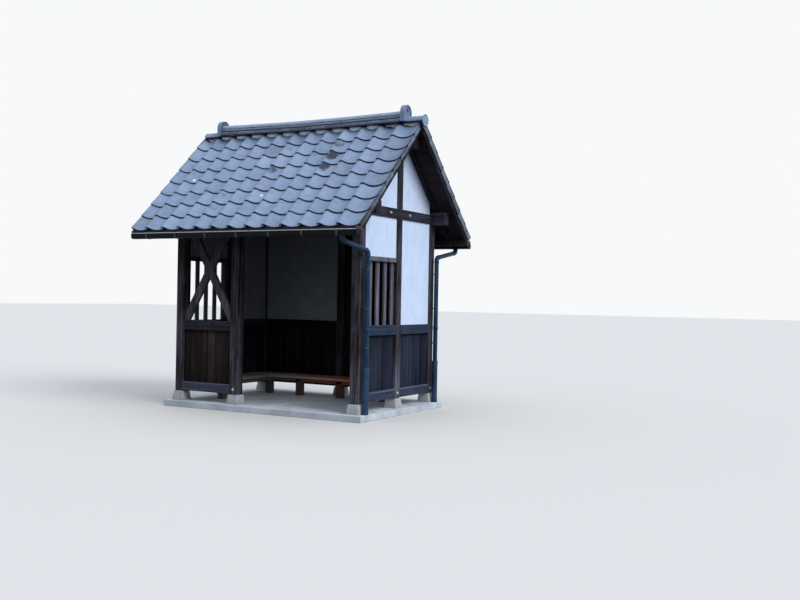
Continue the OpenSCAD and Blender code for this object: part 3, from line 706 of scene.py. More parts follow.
@dataclass
class TimberFrame:
    """Posts, beams, rails, braces, slatted windows and rafters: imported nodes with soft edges."""

    plan: Plan = Plan()
    edge: float = 0.003
    strip_edge: float = 0.002
    strip: Pair = (0.020, 0.006)
    let_in: float = 0.001

    def build(self) -> None:
        """Dresses every timber node with the grain along its length, and adds the strips."""
        x, y, z = Grain.ALONG_X, Grain.ALONG_Y, Grain.ALONG_Z
        for nodes, wood in (
                ("post_front_left post_front_middle post_front_right post_gable_left "
                 "post_gable_right post_back_left post_back_middle post_back_right king_posts",
                 StainedCedar("stained_cedar_posts", z, "#161110", "#2a2423", "#504a4d",
                              "#7b7c89", wear=0.7, stops=(0.40, 0.50, 0.62))),
                ("window_left window_right",
                 StainedCedar("stained_cedar_slats", z, "#3a373e", "#66626b", "#8b8791",
                              "#9b99a6", painted_shade_indoors=0.3)),
                ("rail_front wall_plate_front wall_plate_back ridge_beam",
                 StainedCedar("stained_cedar_beams", x, "#151112", "#231e20", "#373136",
                              "#6b6f82", dust_and_top_highlight=0.8)),
                ("tie_beam_left tie_beam_right",
                 StainedCedar("stained_cedar_ties", y, "#19181b", "#2a2930", "#43424d",
                              "#6b6f82", dust_and_top_highlight=0.8)),
                ("sill_front",
                 StainedCedar("weathered_cedar_sill", x, "#2c2c33", "#3e3f49", "#585a68",
                              "#787c90", dust_and_top_highlight=0.8)),
                ("sill_left sill_right rail_left rail_right",
                 StainedCedar("weathered_cedar_side_bars", y, "#20262f", "#303949", "#414c60",
                              "#69738a", foot=0.0, dust_and_top_highlight=0.5)),
                ("cross_brace",
                 StainedCedar("stained_cedar_brace", z, "#2e2927", "#504947", "#767070",
                              "#858690", wear=0.5)),
                ("rafters_front rafters_back",
                 StainedCedar("stained_cedar_rafters", y, "#151213", "#1e191a", "#2e2827")),
                # Painted shade: the back sill and rail get near black colours for the dark inside
                # of the shelter.
                ("sill_back rail_back",
                 StainedCedar("stained_cedar_painted_shade_inside", x, "#0b0a0a", "#141213", "#201d1e",
                              "#3a3838"))):
            material = wood.build()
            for node in nodes.split():
                dress_node(node, material, self.edge)
        self.strips()

    def strips(self) -> None:
        """Builds the weather strips along the top edges of the front and the side sills."""
        p, edge = self.plan, self.strip_edge
        high, proud = self.strip
        clear = p.bay - 2 * p.half_post - 2 * self.let_in
        z, out = p.sill_top - high / 2, p.half_post + proud / 2 - self.let_in
        shells = [bar((-p.side_x + p.bay / 2, -p.bay - out, z), (clear, 0, 0), (0, proud, 0),
                      (0, 0, high), edge)]
        shells += [bar((way * (p.side_x + out), y, z), (0, clear, 0), (proud, 0, 0),
                       (0, 0, high), edge, 0.0, y)
                   for way in (-1, 1) for y in (-p.bay / 2, p.bay / 2)]
        wood = StainedCedar("weathered_cedar_strip", Grain.PIECE, "#393d49", "#4c5160",
                            "#606678", "#7f869c")
        make_piece("sill_weather_strips", shells, wood.build())


@dataclass
class Masonry:
    """Plaster panels, floor slab and footing stones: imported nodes, with their soft edges."""

    plaster_edge: float = 0.002
    slab_edge: float = 0.006
    stone_edge: float = 0.005

    def build(self) -> None:
        """Dresses the nodes."""
        plaster = LimePlaster().build()
        for node in ("plaster_left", "plaster_right", "plaster_back"):
            dress_node(node, plaster, self.plaster_edge)
        slab = Cast("trowelled_concrete", "#b2b6b8", "#cbcfd0", "#dfe2e2", 3.2, 130.0, 0.0012,
                    0.82)
        stone = Cast("cast_concrete", "#9c9b99", "#b2b1ae", "#c5c4c1", 14.0, 170.0, 0.002, 0.88,
                     foot="#565858")
        dress_node("floor_slab", slab.build(), self.slab_edge)
        dress_node("footings", stone.build(), self.stone_edge)


@dataclass
class WallBoards:
    """Upright boards of the lower walls and of the back wall's right half.

    Each board is a bar of its own with softened edges that make the joints. Their shades differ
    by the spread, within its limits, and one board of the front bay has lost most of its stain.
    """

    plan: Plan = Plan()
    board: float = 0.099
    thick: float = 0.050
    joint: float = 0.004
    spread: float = 0.22
    limits: Pair = (-0.45, 0.5)
    bleached: float = 1.9
    bleached_board: int = 4
    smooth: float = 60.0
    seed: int = 11

    def panel(self, rng: np.random.Generator, start: Pair, step: Pair, length: float, low: float,
              high: float, pale: int = -1) -> list[Shell]:
        """Boards of one panel.

        Args:
            rng: source of the shades.
            start: X and Y of the panel's first corner, on its middle line.
            step: direction of the panel on the plan.
            length: length of the panel.
            low: height of its foot.
            high: height of its top.
            pale: number of a board that has lost its stain, or -1.

        Returns:
            One surface for each board.
        """
        count = max(1, round(length / self.board))
        width = length / count
        direction = np.array([*step, 0.0])
        normal = np.array([-step[1], step[0], 0.0])
        shells = []
        for i in range(count):
            middle = np.array([*start, (low + high) / 2]) + direction * width * (i + 0.5)
            tone = float(np.clip(rng.normal(0, self.spread), *self.limits))
            if i == pale:
                tone = self.bleached
            shells.append(bar(tuple(middle), (0, 0, high - low), tuple(direction * width),
                              tuple(normal * self.thick), self.joint, tone,
                              rng.uniform(0, GRAIN_SHIFT)))
        return shells

    def build(self) -> None:
        """Builds the four groups of panels."""
        rng = np.random.default_rng(self.seed)
        p = self.plan
        low, high = p.sill_top, p.rail_low
        clear, half = p.bay - 2 * p.half_post, p.side_x - 2 * p.half_post
        left = -p.side_x + p.half_post
        dark = StainedCedar("stained_cedar_boards", Grain.PIECE, "#120d0b", "#1e1614",
                            "#352922", "#5d5654", wear=0.2, foot=0.25,
                            stops=(0.36, 0.50, 0.66)).build()
        # The gable boards are greyed by weather, and their blue is a painted skylight.
        grey = StainedCedar("weathered_cedar_boards_painted_skylight", Grain.PIECE, "#0f1116", "#181b25",
                            "#292d3a", "#5a617a", wear=0.25, foot=0.7).build()
        front = self.panel(rng, (left, -p.bay), (1, 0), clear, low, high, self.bleached_board)
        groups = [("boards_front_bay", front, dark, "boards_front")]
        for name, x in (("left", -p.side_x), ("right", p.side_x)):
            shells = [s for y in (-p.bay, 0.0)
                      for s in self.panel(rng, (x, y + p.half_post), (0, 1), clear, low, high)]
            groups.append((f"boards_{name}_gable", shells, grey, f"boards_{name}"))
        back = []
        for x, foot, top in ((left, low, high), (p.half_post, low, high),
                             (p.half_post, p.rail_top, p.plate_z)):
            back += self.panel(rng, (x, p.bay), (1, 0), half, foot, top)
        groups.append(("boards_back_wall", back, dark, "boards_back"))
        for name, shells, material, node in groups:
            make_piece(name, shells, material, (node,), self.smooth)


@dataclass
class Bench:
    """Seat of planks along the back wall and the left gable, on square legs.

    The shades are ranges, and lighter on the long seat than on the side seat. The side seat,
    the legs and the boards under the seat are toned darker as a painted shade.
    """

    plan: Plan = Plan()
    top: float = 0.355
    plank_t: float = 0.036
    depth: float = 0.400
    planks: int = 3
    gap: float = 0.005
    play: float = 0.004
    plank_edge: float = 0.004
    leg_edge: float = 0.003
    leg: float = 0.090
    setback: float = 0.020
    apron: Pair = (0.024, 0.045)
    leg_xs: tuple[float, ...] = (-1.015, -0.486, 0.186, 0.858)
    end_leg_y: float = -0.590
    long_tones: Pair = (-0.1, 0.15)
    # Painted shade: the side seat, the legs and the boards under the seat are toned darker.
    side_painted_shade_tones: Pair = (-0.35, -0.15)
    leg_painted_shade_tones: Pair = (-0.88, -0.78)
    apron_painted_shade_tone: float = -0.7
    seed: int = 5

    def build(self) -> None:
        """Builds the planks, the stiffening boards and the legs as one piece."""
        rng = np.random.default_rng(self.seed)
        p = self.plan
        inner_x, inner_y = p.side_x - p.half_post, p.bay - p.half_post
        front_y, seat_x = inner_y - self.depth, -inner_x + self.depth
        z = self.top - self.plank_t / 2
        width = (self.depth - (self.planks - 1) * self.gap) / self.planks
        shells = []
        for i in range(self.planks):
            away = width / 2 + i * (width + self.gap)
            for centre, along, across, tones in (
                    ((0, front_y + away, z), (2 * inner_x - self.play, 0, 0), (0, width, 0),
                     self.long_tones),
                    ((seat_x - away, (front_y - inner_y) / 2, z),
                     (0, front_y + inner_y - self.play, 0), (width, 0, 0), self.side_painted_shade_tones)):
                shells.append(bar(centre, along, across, (0, 0, self.plank_t), self.plank_edge,
                                  rng.uniform(*tones), rng.uniform(0, GRAIN_SHIFT)))
        low = self.top - self.plank_t
        thick, high = self.apron
        leg_x, leg_y = self.leg_xs[0], front_y + self.setback
        for centre, along, through in (
                (((leg_x + inner_x) / 2, leg_y + thick / 2), (inner_x - leg_x, 0, 0),
                 (0, thick, 0)),
                ((leg_x + self.leg - thick / 2, (leg_y - inner_y) / 2), (0, leg_y + inner_y, 0),
                 (thick, 0, 0))):
            shells.append(bar((*centre, low - high / 2), along, (0, 0, high), through,
                              self.leg_edge, self.apron_painted_shade_tone))
        half = self.leg / 2
        for x, y in [(x, leg_y) for x in self.leg_xs] + [(leg_x, self.end_leg_y)]:
            shells.append(bar((x + half, y + half, (low + p.slab) / 2), (0, 0, low - p.slab),
                              (self.leg, 0, 0), (0, self.leg, 0), self.leg_edge,
                              rng.uniform(*self.leg_painted_shade_tones), rng.uniform(0, GRAIN_SHIFT)))
        # The seat's stain turns grey towards its left end, as a painted shade.
        wood = StainedCedar("stained_cedar_bench", Grain.PIECE, "#7a4129", "#b8683d", "#d98a58",
                            "#8b8480", wear=0.1, foot=0.0, painted_shade_x=(-0.65, 0.35), painted_shade_indoors=1.0,
                            shine=0.4)
        make_piece("bench_planked", shells, wood.build(), ("bench",), 35)


@dataclass
class RoofTiles:
    """Separate pantiles on both slopes, with side flanges on the verge tiles.

    A tile has a roll whose free left side laps the tile beside it, a trough, and a slow rise that
    passes under the next roll. It is tilted so that its nose rides on the course below. Its front
    edge, its underside and the part under the next roll take a painted shade.
    """

    plan: Plan = Plan()
    courses: int = 8
    start: float = 0.057
    lap: float = 0.045
    head_y: float = 0.004
    head_lift: float = 0.008
    thick: float = 0.015
    step: float = 0.0154
    least_last: float = 0.200
    roll: float = 0.040
    flank: float = 0.050
    trough: float = 0.053
    trough_roll: float = 0.171
    rise: float = 0.400
    lip: tuple[float, ...] = (-0.038, -0.028, -0.018, -0.008)
    roll_xs: tuple[float, ...] = (0.0, 0.009, 0.018)
    trough_xs: tuple[float, ...] = (0.050, 0.080, 0.110)
    rise_shares: tuple[float, ...] = (0.25, 0.55, 0.8, 1.0)
    tuck: float = 0.008
    rim_drop: float = 0.014
    nose: tuple[float, ...] = (-0.010, -0.0015, 0.0)
    nose_sink: Pair = (0.001, 0.0035)
    worn_nose: tuple[float, ...] = (-0.080, -0.045)
    worn_head: float = 0.005
    worn_rows: tuple[float, ...] = (-0.200, -0.160, -0.120)
    patch_middle: Pair = (0.040, 0.165)
    patch_size: Pair = (0.066, 0.098)
    # Painted shade on the part of a tile that lies under the next roll.
    painted_shade_edge: float = 0.036
    shake: Point = (0.0012, 0.0006, 0.0012)
    flange: Pair = (0.014, 0.082)
    flange_soft: float = 0.002
    flange_tone: float = -0.33
    flange_head: float = 0.04
    shades: Pair = (0.14, 0.06)
    shade_limits: Pair = (0.0, 0.3)
    corner_from: float = 1.15
    corner_to: float = 1.8
    corner_lift: float = 0.028
    corner_draw: float = 0.020
    corner_reach: Pair = (1.3, 1.1)
    smooth: float = 50.0
    seed: int = 3

    def __post_init__(self) -> None:
        """Works out the exposed length, the column starts and the trough's place."""
        p = self.plan
        self.exposure = (p.eave_y / math.cos(Slope.pitch) - self.start) / self.courses
        regular = int((2 * p.roof_half - p.tile_width - self.least_last) / p.tile_width)
        self.lefts = -p.roof_half + p.tile_width * np.arange(regular + 2)
        self.last_width = p.roof_half - float(self.lefts[-1])
        self.trough_x = math.sqrt((self.roll + self.trough_roll) ** 2
                                  - (self.trough_roll - self.trough + self.roll) ** 2)
        self.meet = self.roll * self.trough_x / (self.roll + self.trough_roll)

    def wave(self, x: np.ndarray, rise: float) -> np.ndarray:
        """Height of a tile's face below its crest, from arcs that meet in common tangents.

        With the dip d(x, r) = r - sqrt(r^2 - x^2) it is -d(x, flank) left of the crest,
        -d(x, roll) right of it, and d(x - x0, R) less the trough's depth past their tangent,
        where R is the trough's radius before its lowest line x0 and the rise's radius after it.

        Args:
            x: distance from the crest line.
            rise: radius of the rise.

        Returns:
            Height, zero at the crest and negative below it.
        """
        radius = np.select([x < 0, x < self.meet, x < self.trough_x],
                           [self.flank, self.roll, self.trough_roll], rise)
        away = np.where(x < self.meet, x, x - self.trough_x)
        dip = radius - np.sqrt(np.maximum(radius ** 2 - away ** 2, 1e-6))
        return np.where(x < self.meet, -dip, dip - self.trough)

    def head_s(self, n: np.ndarray | float) -> np.ndarray | float:
        """Place on the slope where the top course ends at depth n, upright at head_y.

        Args:
            n: depth below the crest plane.

        Returns:
            Distance down the slope.
        """
        return (self.head_y + n * math.sin(Slope.pitch)) / math.cos(Slope.pitch)

    def settle(self, points: np.ndarray, s: np.ndarray) -> np.ndarray:
        """Lifts and draws in the upper left corner of the front slope, as the old roof has it.

        With u from 0 at the X where it starts to 1 at the edge, and v from 1 near the ridge to 0
        at its reach down the slope, Z grows by the lift times u^2 v and X by the draw times u v.

        Args:
            points: points of one shell, by ring.
            s: their distance down the slope.

        Returns:
            The moved points.
        """
        moved = points.copy()
        reach, run = self.corner_reach
        span = self.corner_to - self.corner_from
        u = np.clip((-points[..., 0] - self.corner_from) / span, 0, 1) * (points[..., 1] < 0)
        v = np.clip((reach - s) / run, 0, 1)
        moved[..., 2] += self.corner_lift * u ** 2 * v
        moved[..., 0] += self.corner_draw * u * v
        return moved

    def columns(self, column: int) -> tuple[np.ndarray, np.ndarray]:
        """Points across a tile.

        Args:
            column: number of its column, from 0 at the left edge.

        Returns:
            Distance from the crest line and height of the face at each point.
        """
        last = column == len(self.lefts) - 1
        end = self.last_width if last else self.plan.tile_width - self.tuck
        x = np.array([*(self.lip if column else ()), *self.roll_xs, self.meet, *self.trough_xs,
                      self.trough_x,
                      *((1 - t) * self.trough_x + t * end for t in self.rise_shares)])
        run, height = self.last_width - self.trough_x, self.trough - self.rim_drop
        rise = (run ** 2 + height ** 2) / (2 * height) if last else self.rise
        return x, self.wave(x, rise)

    def tile(self, slope: Slope, column: int, course: int, tone: float,
             rng: np.random.Generator, worn: float) -> Shell:
        """One tile of a course.

        Its depth at s is the step's share of the way from its nose, less the wave's height. A
        dark patch falls off as exp(-(dx / a)^2 - (ds / b)^2) about its middle.

        Args:
            slope: side of the roof.
            column: number of its column.
            course: number of its course, from 1 under the ridge.
            tone: its shade.
            rng: source of its slight shift.
            worn: strength of a dark patch near its upper left.

        Returns:
            The surface.
        """
        across, height = self.columns(column)
        low = self.start + course * self.exposure
        nudge, lift, twist = rng.normal(0, self.shake)
        rows = [low + row for row in self.nose]
        if worn:
            rows = [low - self.exposure - self.worn_head,
                    *(low + row for row in self.worn_rows + self.worn_nose), *rows]
        stops = np.array(rows) + nudge
        sink = np.zeros(len(stops) + 1)
        sink[-2:] = self.nose_sink
        raised = np.minimum(np.arange(len(stops) + 1), 1.0)
        top = course == 1
        head = (self.head_s(-height) if top else
                np.full(len(across), low - self.exposure - self.lap))
        s = np.concatenate([head[None], np.repeat(stops[:, None], len(across), 1)])
        depth = self.step / self.exposure * (low - s) - height[None]
        depth -= raised[:, None] * (lift - abs(twist) - twist * across[None]
                                    / self.plan.tile_width)
        depth[0] -= self.head_lift * top
        n = np.concatenate([depth + sink[:, None], (depth + self.thick)[:, ::-1]], 1)
        s = np.concatenate([s, s[:, ::-1]], 1)
        x = np.tile(np.concatenate([across, across[::-1]]), (len(stops) + 1, 1))
        (x0, s0), (a, b) = self.patch_middle, self.patch_size
        patch = np.exp(-((x - x0) / a) ** 2 - ((low - s - s0) / b) ** 2)
        # The worn patch is real lost skin; the nose's front edge, the underside and the part under
        # the next roll get a painted shade.
        patch_and_painted_shade = worn * np.minimum(1.5 * patch, 1.0)
        patch_and_painted_shade[-2], patch_and_painted_shade[-1], patch_and_painted_shade[:, len(across):] = 0.3, 1.0, 1.0
        if column < len(self.lefts) - 1:
            patch_and_painted_shade[x > self.plan.tile_width - self.painted_shade_edge] = 1.0
        rings = self.settle(slope.place(x + self.lefts[column], s, n), s)
        return loft(rings, np.stack([x, low - s, patch_and_painted_shade], -1), tone)

    def verge(self, slope: Slope, way: int, course: int, tone: float) -> Shell:
        """Side flange of one verge tile.

        Args:
            slope: side of the roof.
            way: -1 at the slope's left edge and 1 at its right edge.
            course: number of its course.
            tone: its shade.

        Returns:
            The surface.
        """
        thick, deep = self.flange
        soft = self.flange_soft
        top = soft if way < 0 else self.rim_drop + soft
        low = self.start + course * self.exposure
        high = self.head_s(self.flange_head) if course == 1 else low - self.exposure + 0.001
        rows = np.array([high, high + soft, low - soft, low])
        half = thick / 2
        right = np.array([(half - soft, top), (half, top + 0.003), (half, deep - 2 * soft),
                          (half - soft, deep)])
        ring = np.concatenate([right[:1] * (-1, 1), right, right[:0:-1] * (-1, 1)])
        inset = np.array([0.85, 1.0, 1.0, 0.85])
        across = way * (self.plan.roof_half - half) + ring[None, :, 0] * inset[:, None]
        n = ring[None, :, 1] + (self.step / self.exposure * (low - rows))[:, None] + 0 * across
        s = np.repeat(rows[:, None], len(ring), 1)
        return loft(self.settle(slope.place(across, s, n), s), None, tone + self.flange_tone)

    def slope_shells(self, slope: Slope, rng: np.random.Generator,
                     worn: dict[tuple[int, int], float]) -> list[Shell]:
        """All tiles of one slope.

        Args:
            slope: side of the roof.
            rng: source of shades and shifts.
            worn: strength of the dark patch of single tiles, by course and column.

        Returns:
            One surface for each tile and flange.
        """
        shells = []
        for course in range(1, self.courses + 1):
            tones = np.clip(rng.normal(*self.shades, len(self.lefts)), *self.shade_limits)
            shells += [self.tile(slope, column, course, float(tones[column]), rng,
                                 worn.get((course, column), 0.0))
                       for column in range(len(self.lefts))]
            shells += [self.verge(slope, way, course, float(tones[min(way, 0)]))
                       for way in (-1, 1)]
        return shells

    def build(self, material: Material) -> None:
        """Builds both slopes.

        Args:
            material: finish of the tiles.
        """
        rng = np.random.default_rng(self.seed)
        for name, slope, worn in (
                ("front", Slope(1, -self.plan.front_shift),
                 {(4, 9): 0.85, (3, 9): 0.9, (2, 9): 0.6, (4, 6): 0.6, (2, 5): 0.42,
                  (2, 6): 0.45, (6, 4): 0.5, (7, 4): 0.45}),
                ("back", Slope(-1), {(4, 5): 0.5, (6, 10): 0.4})):
            make_piece(f"pantiles_{name}", self.slope_shells(slope, rng, worn), material,
                       (f"roof_tiles_{name}",), self.smooth)


@dataclass
class Ridge:
    """Mortar, two flat tile layers, round caps and stoppers, between packed end tiles.

    The stack between the end tiles sags a little in the middle: at the share u of its half
    length it is raised by the bend times u^2, and to the left also by the left rise times -u.
    """

    plan: Plan = Plan()
    tan: float = math.tan(Slope.pitch)
    clear: float = 0.043
    low_flat: Pair = (0.090, 0.048)
    high_flat: Pair = (0.075, 0.036)
    flat_round: float = 0.005
    flat_flare: float = 0.016
    flat_gap: float = 0.0006
    flat_least: float = 0.020
    flat_growth: tuple[float, ...] = (0.993, 1.0, 1.0, 0.993)
    # Painted shade: the flat ridge tiles are toned darker than the roof tiles.
    flat_painted_shade_tones: Pair = (-0.20, -0.08)
    flat_spread: float = 0.05
    fall: float = 0.020
    joint: float = 0.004
    cap: float = 0.062
    sink: float = 0.010
    clay: float = 0.012
    collar: float = 0.026
    cap_lap: float = 0.010
    cap_growth: tuple[float, ...] = (1.0, 1.025, 1.025, 1.0, 0.985)
    # Painted light: the round caps are toned lighter than the roof tiles.
    cap_painted_light_tones: Pair = (0.22, 0.42)
    neck: float = 0.006
    neck_z: Pair = (-0.110, -0.002)
    neck_ends: Pair = (0.002, 0.064)
    rough: float = 0.0015
    core_half: float = 0.055
    core_play: float = 0.001
    core_rise: float = 0.020
    core_fall: float = 0.006
    core_back: float = 0.004
    pad: Point = (0.008, 0.056, 0.044)
    pad_start: float = 0.022
    pad_gap: float = 0.040
    pad_top: float = 0.006
    pad_end: float = 0.010
    pad_least: float = 0.014
    pad_upper: Pair = (0.004, 0.008)
    pad_lower: float = 0.010
    bend: float = 0.0135
    left_rise: float = 0.013
    end_back: float = 1.446
    end_face: float = 1.509
    end_plate: Pair = (1.456, 1.506)
    end_edge: float = 0.003
    stopper: Pair = (0.078, 0.016)
    left_stopper: float = 0.065
    stopper_tone: float = 0.2
    painted_shade_z: Pair = (-0.012, 0.002)
    tiles: int = 10
    seed: int = 7

    def __post_init__(self) -> None:
        """Works out the heights of the stack from the sizes above."""
        self.flat_low_z = Slope.apex - self.low_flat[0] * self.tan + self.clear
        self.flat_high_z = self.flat_low_z + self.low_flat[1] + self.joint
        self.cap_z = self.flat_high_z + self.high_flat[1] + self.joint
        self.low_cap_z = self.flat_low_z + self.fall

    def sag(self, x: np.ndarray | tuple) -> np.ndarray:
        """Height that the stack is off its level at x.

        Args:
            x: place along the ridge.

        Returns:
            The height, below zero in the middle.
        """
        share = np.asarray(x) / self.end_back
        return self.bend * (share ** 2 - 0.4) + self.left_rise * np.maximum(-share - 0.15, 0)

    def mortar(self, rng: np.random.Generator) -> Shell:
        """Mortar wall between the tile heads, smoothed by hand and slightly uneven.

        Args:
            rng: source of the unevenness.

        Returns:
            The surface.
        """
        z = self.low_cap_z + np.linspace(*self.neck_z, 7)
        right = np.stack([np.full(len(z), self.neck), z], -1)
        section = np.concatenate([right * (-1, 1), right[::-1]])
        x = np.linspace(self.neck_ends[0] - self.plan.roof_half,
                        self.plan.roof_half - self.neck_ends[1], 122)
        rough = rng.normal(0, self.rough, (len(x), len(section)))
        flat = np.repeat(section[None], len(x), 0)
        flat[..., 0] += (rough + np.roll(rough, 1, 0) + np.roll(rough, -1, 0)) / 3
        return loft(np.concatenate([np.repeat(x[:, None, None], len(section), 1), flat], -1))

    def pads(self) -> list[Shell]:
        """Mortar that bulges out under the flat tiles between the tile crests.

        Across a trough, with u from 0 to 1, both its reach and its depth grow by sin(pi u)^0.6.

        Returns:
            One surface for each trough on each side.
        """
        p, width = self.plan, self.plan.tile_width
        near, reach, depth = self.pad
        back, down = self.pad_upper
        lower = self.pad_lower
        u = np.linspace(0.0, 1.0, 13)
        swell = np.sin(np.pi * u) ** 0.6
        out = near + (reach - near) * swell
        shells = []
        for way, shift in ((-1, -p.front_shift), (1, 0.0)):
            for left in np.arange(width - p.roof_half, self.end_back - width, width):
                x = -way * (left + self.pad_start + (width - self.pad_gap) * u) + shift
                top = self.pad_top + np.where(np.abs(x) < self.end_face,
                                              self.flat_low_z + self.sag(x),
                                              self.low_cap_z - self.pad_end)
                low = top - self.pad_least - depth * swell
                y = np.stack([0 * out, out - back, out, out, out - lower, 0 * out], 1) * way
                z = np.stack([top, top, top - down, low + lower, low, low], 1)
                shells.append(loft(np.stack([np.repeat(x[:, None], 6, 1), y, z], -1)))
        return shells

    def flats(self, size: Pair, z: float, shift: float, tone: float,
              rng: np.random.Generator) -> list[Shell]:
        """One layer of flat ridge tiles, each sloping from the middle to both edges.

        Args:
            size: half width and thickness of the layer.
            z: height of its lower edges.
            shift: share of a tile that the joints are moved by.
            tone: shade of the layer.
            rng: source of single shades.

        Returns:
            One surface for each pair of tiles.
        """
        half, r, top = size[0], self.flat_round, z + size[1]
        right = np.array([(0, top + self.fall), (half - r, top + 0.001), (half, top - r),
                          (half, z + self.flat_flare), (half, z + r), (half - r, z),
                          (0, z + self.fall)])
        section = np.concatenate([right, right[::-1][1:-1] * (-1, 1)])
        # Painted shade on each flat's lower edge and underside.
        painted_shade_and_patch = np.array([0, 0, 0, 0.5, 1, 1, 1, 1, 1, 0.5, 0, 0])
        end = self.end_back
        pitch, gap = 2 * end / self.tiles, self.flat_gap
        cuts = -end + pitch * (np.arange(self.tiles + 1) - shift)
        cuts = np.unique(np.clip(np.append(cuts, [end]), -end, end))
        return [extrude(section, (a + gap, a + 5 * gap, b - 5 * gap, b - gap),
                        self.flat_growth, tone + rng.uniform(-self.flat_spread, self.flat_spread),
                        self.sag((a, a, b, b)), painted_shade_and_patch)
                for a, b in zip(cuts[:-1], cuts[1:]) if b - a > self.flat_least]

    def caps(self, z: float, x0: float, x1: float, count: int, bent: bool,
             rng: np.random.Generator) -> list[Shell]:
        """Round caps in a row, each with a collar that laps the one before.

        The section is an arch of clay: an outer half circle on short straight sides and an inner
        one that is the clay's thickness smaller.

        Args:
            z: height of the arch's middle.
            x0: start of the row.
            x1: end of the row.
            count: number of caps.
            bent: whether the row follows the ridge's sag.
            rng: source of the shades.

        Returns:
            One surface for each cap.
        """
        a = np.linspace(math.pi, 0, 17)
        ring = np.stack([np.cos(a), np.sin(a)], -1)
        outer, inner = (np.concatenate([[(-r, -self.sink)], ring * r, [(r, -self.sink)]])
                        for r in (self.cap, self.cap - self.clay))
        section = np.concatenate([outer, inner[::-1]]) + (0, z)
        # Painted shade inside the arch and at its foot on the flats, less on the low caps.
        painted_shade_and_patch = np.ones(len(section))
        foot = (1.0, 0.45) if bent else (0.3, 0.0)
        painted_shade_and_patch[1:18] = (*foot, *[0.0] * 13, *foot[::-1])
        cuts = np.linspace(x0, x1, count + 1)
        way = 1 if x1 > x0 else -1
        shells = []
        for i, (start, end) in enumerate(zip(cuts[:-1], cuts[1:])):
            lap = 0.0 if i == count - 1 else self.cap_lap
            x = np.array([start, start + way * 0.002, start + way * self.collar,
                          start + way * (self.collar + 0.002), end + way * lap])
            shells.append(extrude(section, x, self.cap_growth, rng.uniform(*self.cap_painted_light_tones),
                                  self.sag(x) if bent else 0.0, painted_shade_and_patch))
        return shells

    def core(self, half: float, low: float, high: float, x0: float, x1: float,
             bent: bool) -> Shell:
        """Mortar inside a row of caps or flat tiles.

        Args:
            half: half width.
            low: foot.
            high: top.
            x0: start.
            x1: end.
            bent: whether it follows the ridge's sag.

        Returns:
            The surface.
        """
        x = np.linspace(x0, x1, 12)
        section = np.array([(-half, low), (half, low), (half, high), (-half, high)])
        return extrude(section, x, lift=self.sag(x) if bent else 0.0)

    def end_disc(self, way: int) -> Shell:
        """Plain round stopper: a disc with a rolled rim and a shallow domed field.

        The left one is no larger than the cap and is cut off along the front tiles, which reach
        past it.

        Args:
            way: 1 at the right end of the roof and -1 at the left.

        Returns:
            The surface.
        """
        radius, thick = self.stopper
        if way < 0:
            radius = self.left_stopper
        x = self.plan.roof_half + np.array([0, 0.3, 0.8, 1.0, 1.0, 0.8, 0.75, 0.9, 0.97]) * thick
        grown = np.array([0.95, 1.0, 1.0, 0.96, 0.86, 0.80, 0.74, 0.45, 0.06]) * radius
        path = np.stack([way * x, 0 * x, 0 * x + self.low_cap_z], -1)
        rings = circles(path, grown, (0, 1, 0), 32, (1, 0, 0))
        if way < 0:
            floor = np.where(rings[..., 1] < 0, Slope.apex + rings[..., 1] * self.tan, 0.0)
            rings[..., 2] = np.maximum(rings[..., 2], floor)
        return loft(rings, None, self.stopper_tone)

    def build(self, tile: Material) -> None:
        """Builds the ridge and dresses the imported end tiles.

        Args:
            tile: finish of the tiles.
        """
        rng = np.random.default_rng(self.seed)
        half, end = self.plan.roof_half, self.end_back
        low, high = self.flat_low_z + self.fall, self.flat_high_z + self.fall
        inner = self.cap - self.clay - self.core_play
        # The shade colour is a painted shade along the top of the mortar, under the low flat
        # tiles.
        mortar = Cast("lime_mortar", "#dcdedd", "#ebecea", "#f6f6f3", 18.0, 240.0, 0.002, 0.9,
                      shade="#1a1d26", shade_z=tuple(self.flat_low_z + z for z in self.painted_shade_z))
        bedding = [self.mortar(rng), *self.pads(),
                   self.core(inner, high, self.cap_z + self.core_rise, -end, end, True),
                   self.core(self.core_half, low, high, -end, end, True)]
        bedding += [self.core(inner, self.low_cap_z - self.core_fall,
                              self.low_cap_z + self.core_rise, way * self.end_face,
                              way * (half - self.core_back), False) for way in (-1, 1)]
        make_piece("ridge_mortar", bedding, mortar.build(), smooth=50)
        shells = self.flats(self.low_flat, self.flat_low_z, 0.0, self.flat_painted_shade_tones[0], rng)
        shells += self.flats(self.high_flat, self.flat_high_z, 0.5, self.flat_painted_shade_tones[1], rng)
        shells += self.caps(self.cap_z, end, -end, self.tiles, True, rng)
        for way in (-1, 1):
            shells += self.caps(self.low_cap_z, way * half, way * self.end_face, 1, False, rng)
            shells.append(self.end_disc(way))
        make_piece("ridge_clay", shells, tile, ("ridge_tiles",))
        ends = SmokedTile("smoked_clay_end_tile", plate=self.end_plate)
        dress_node("ridge_end_tiles", ends.build(), self.end_edge)


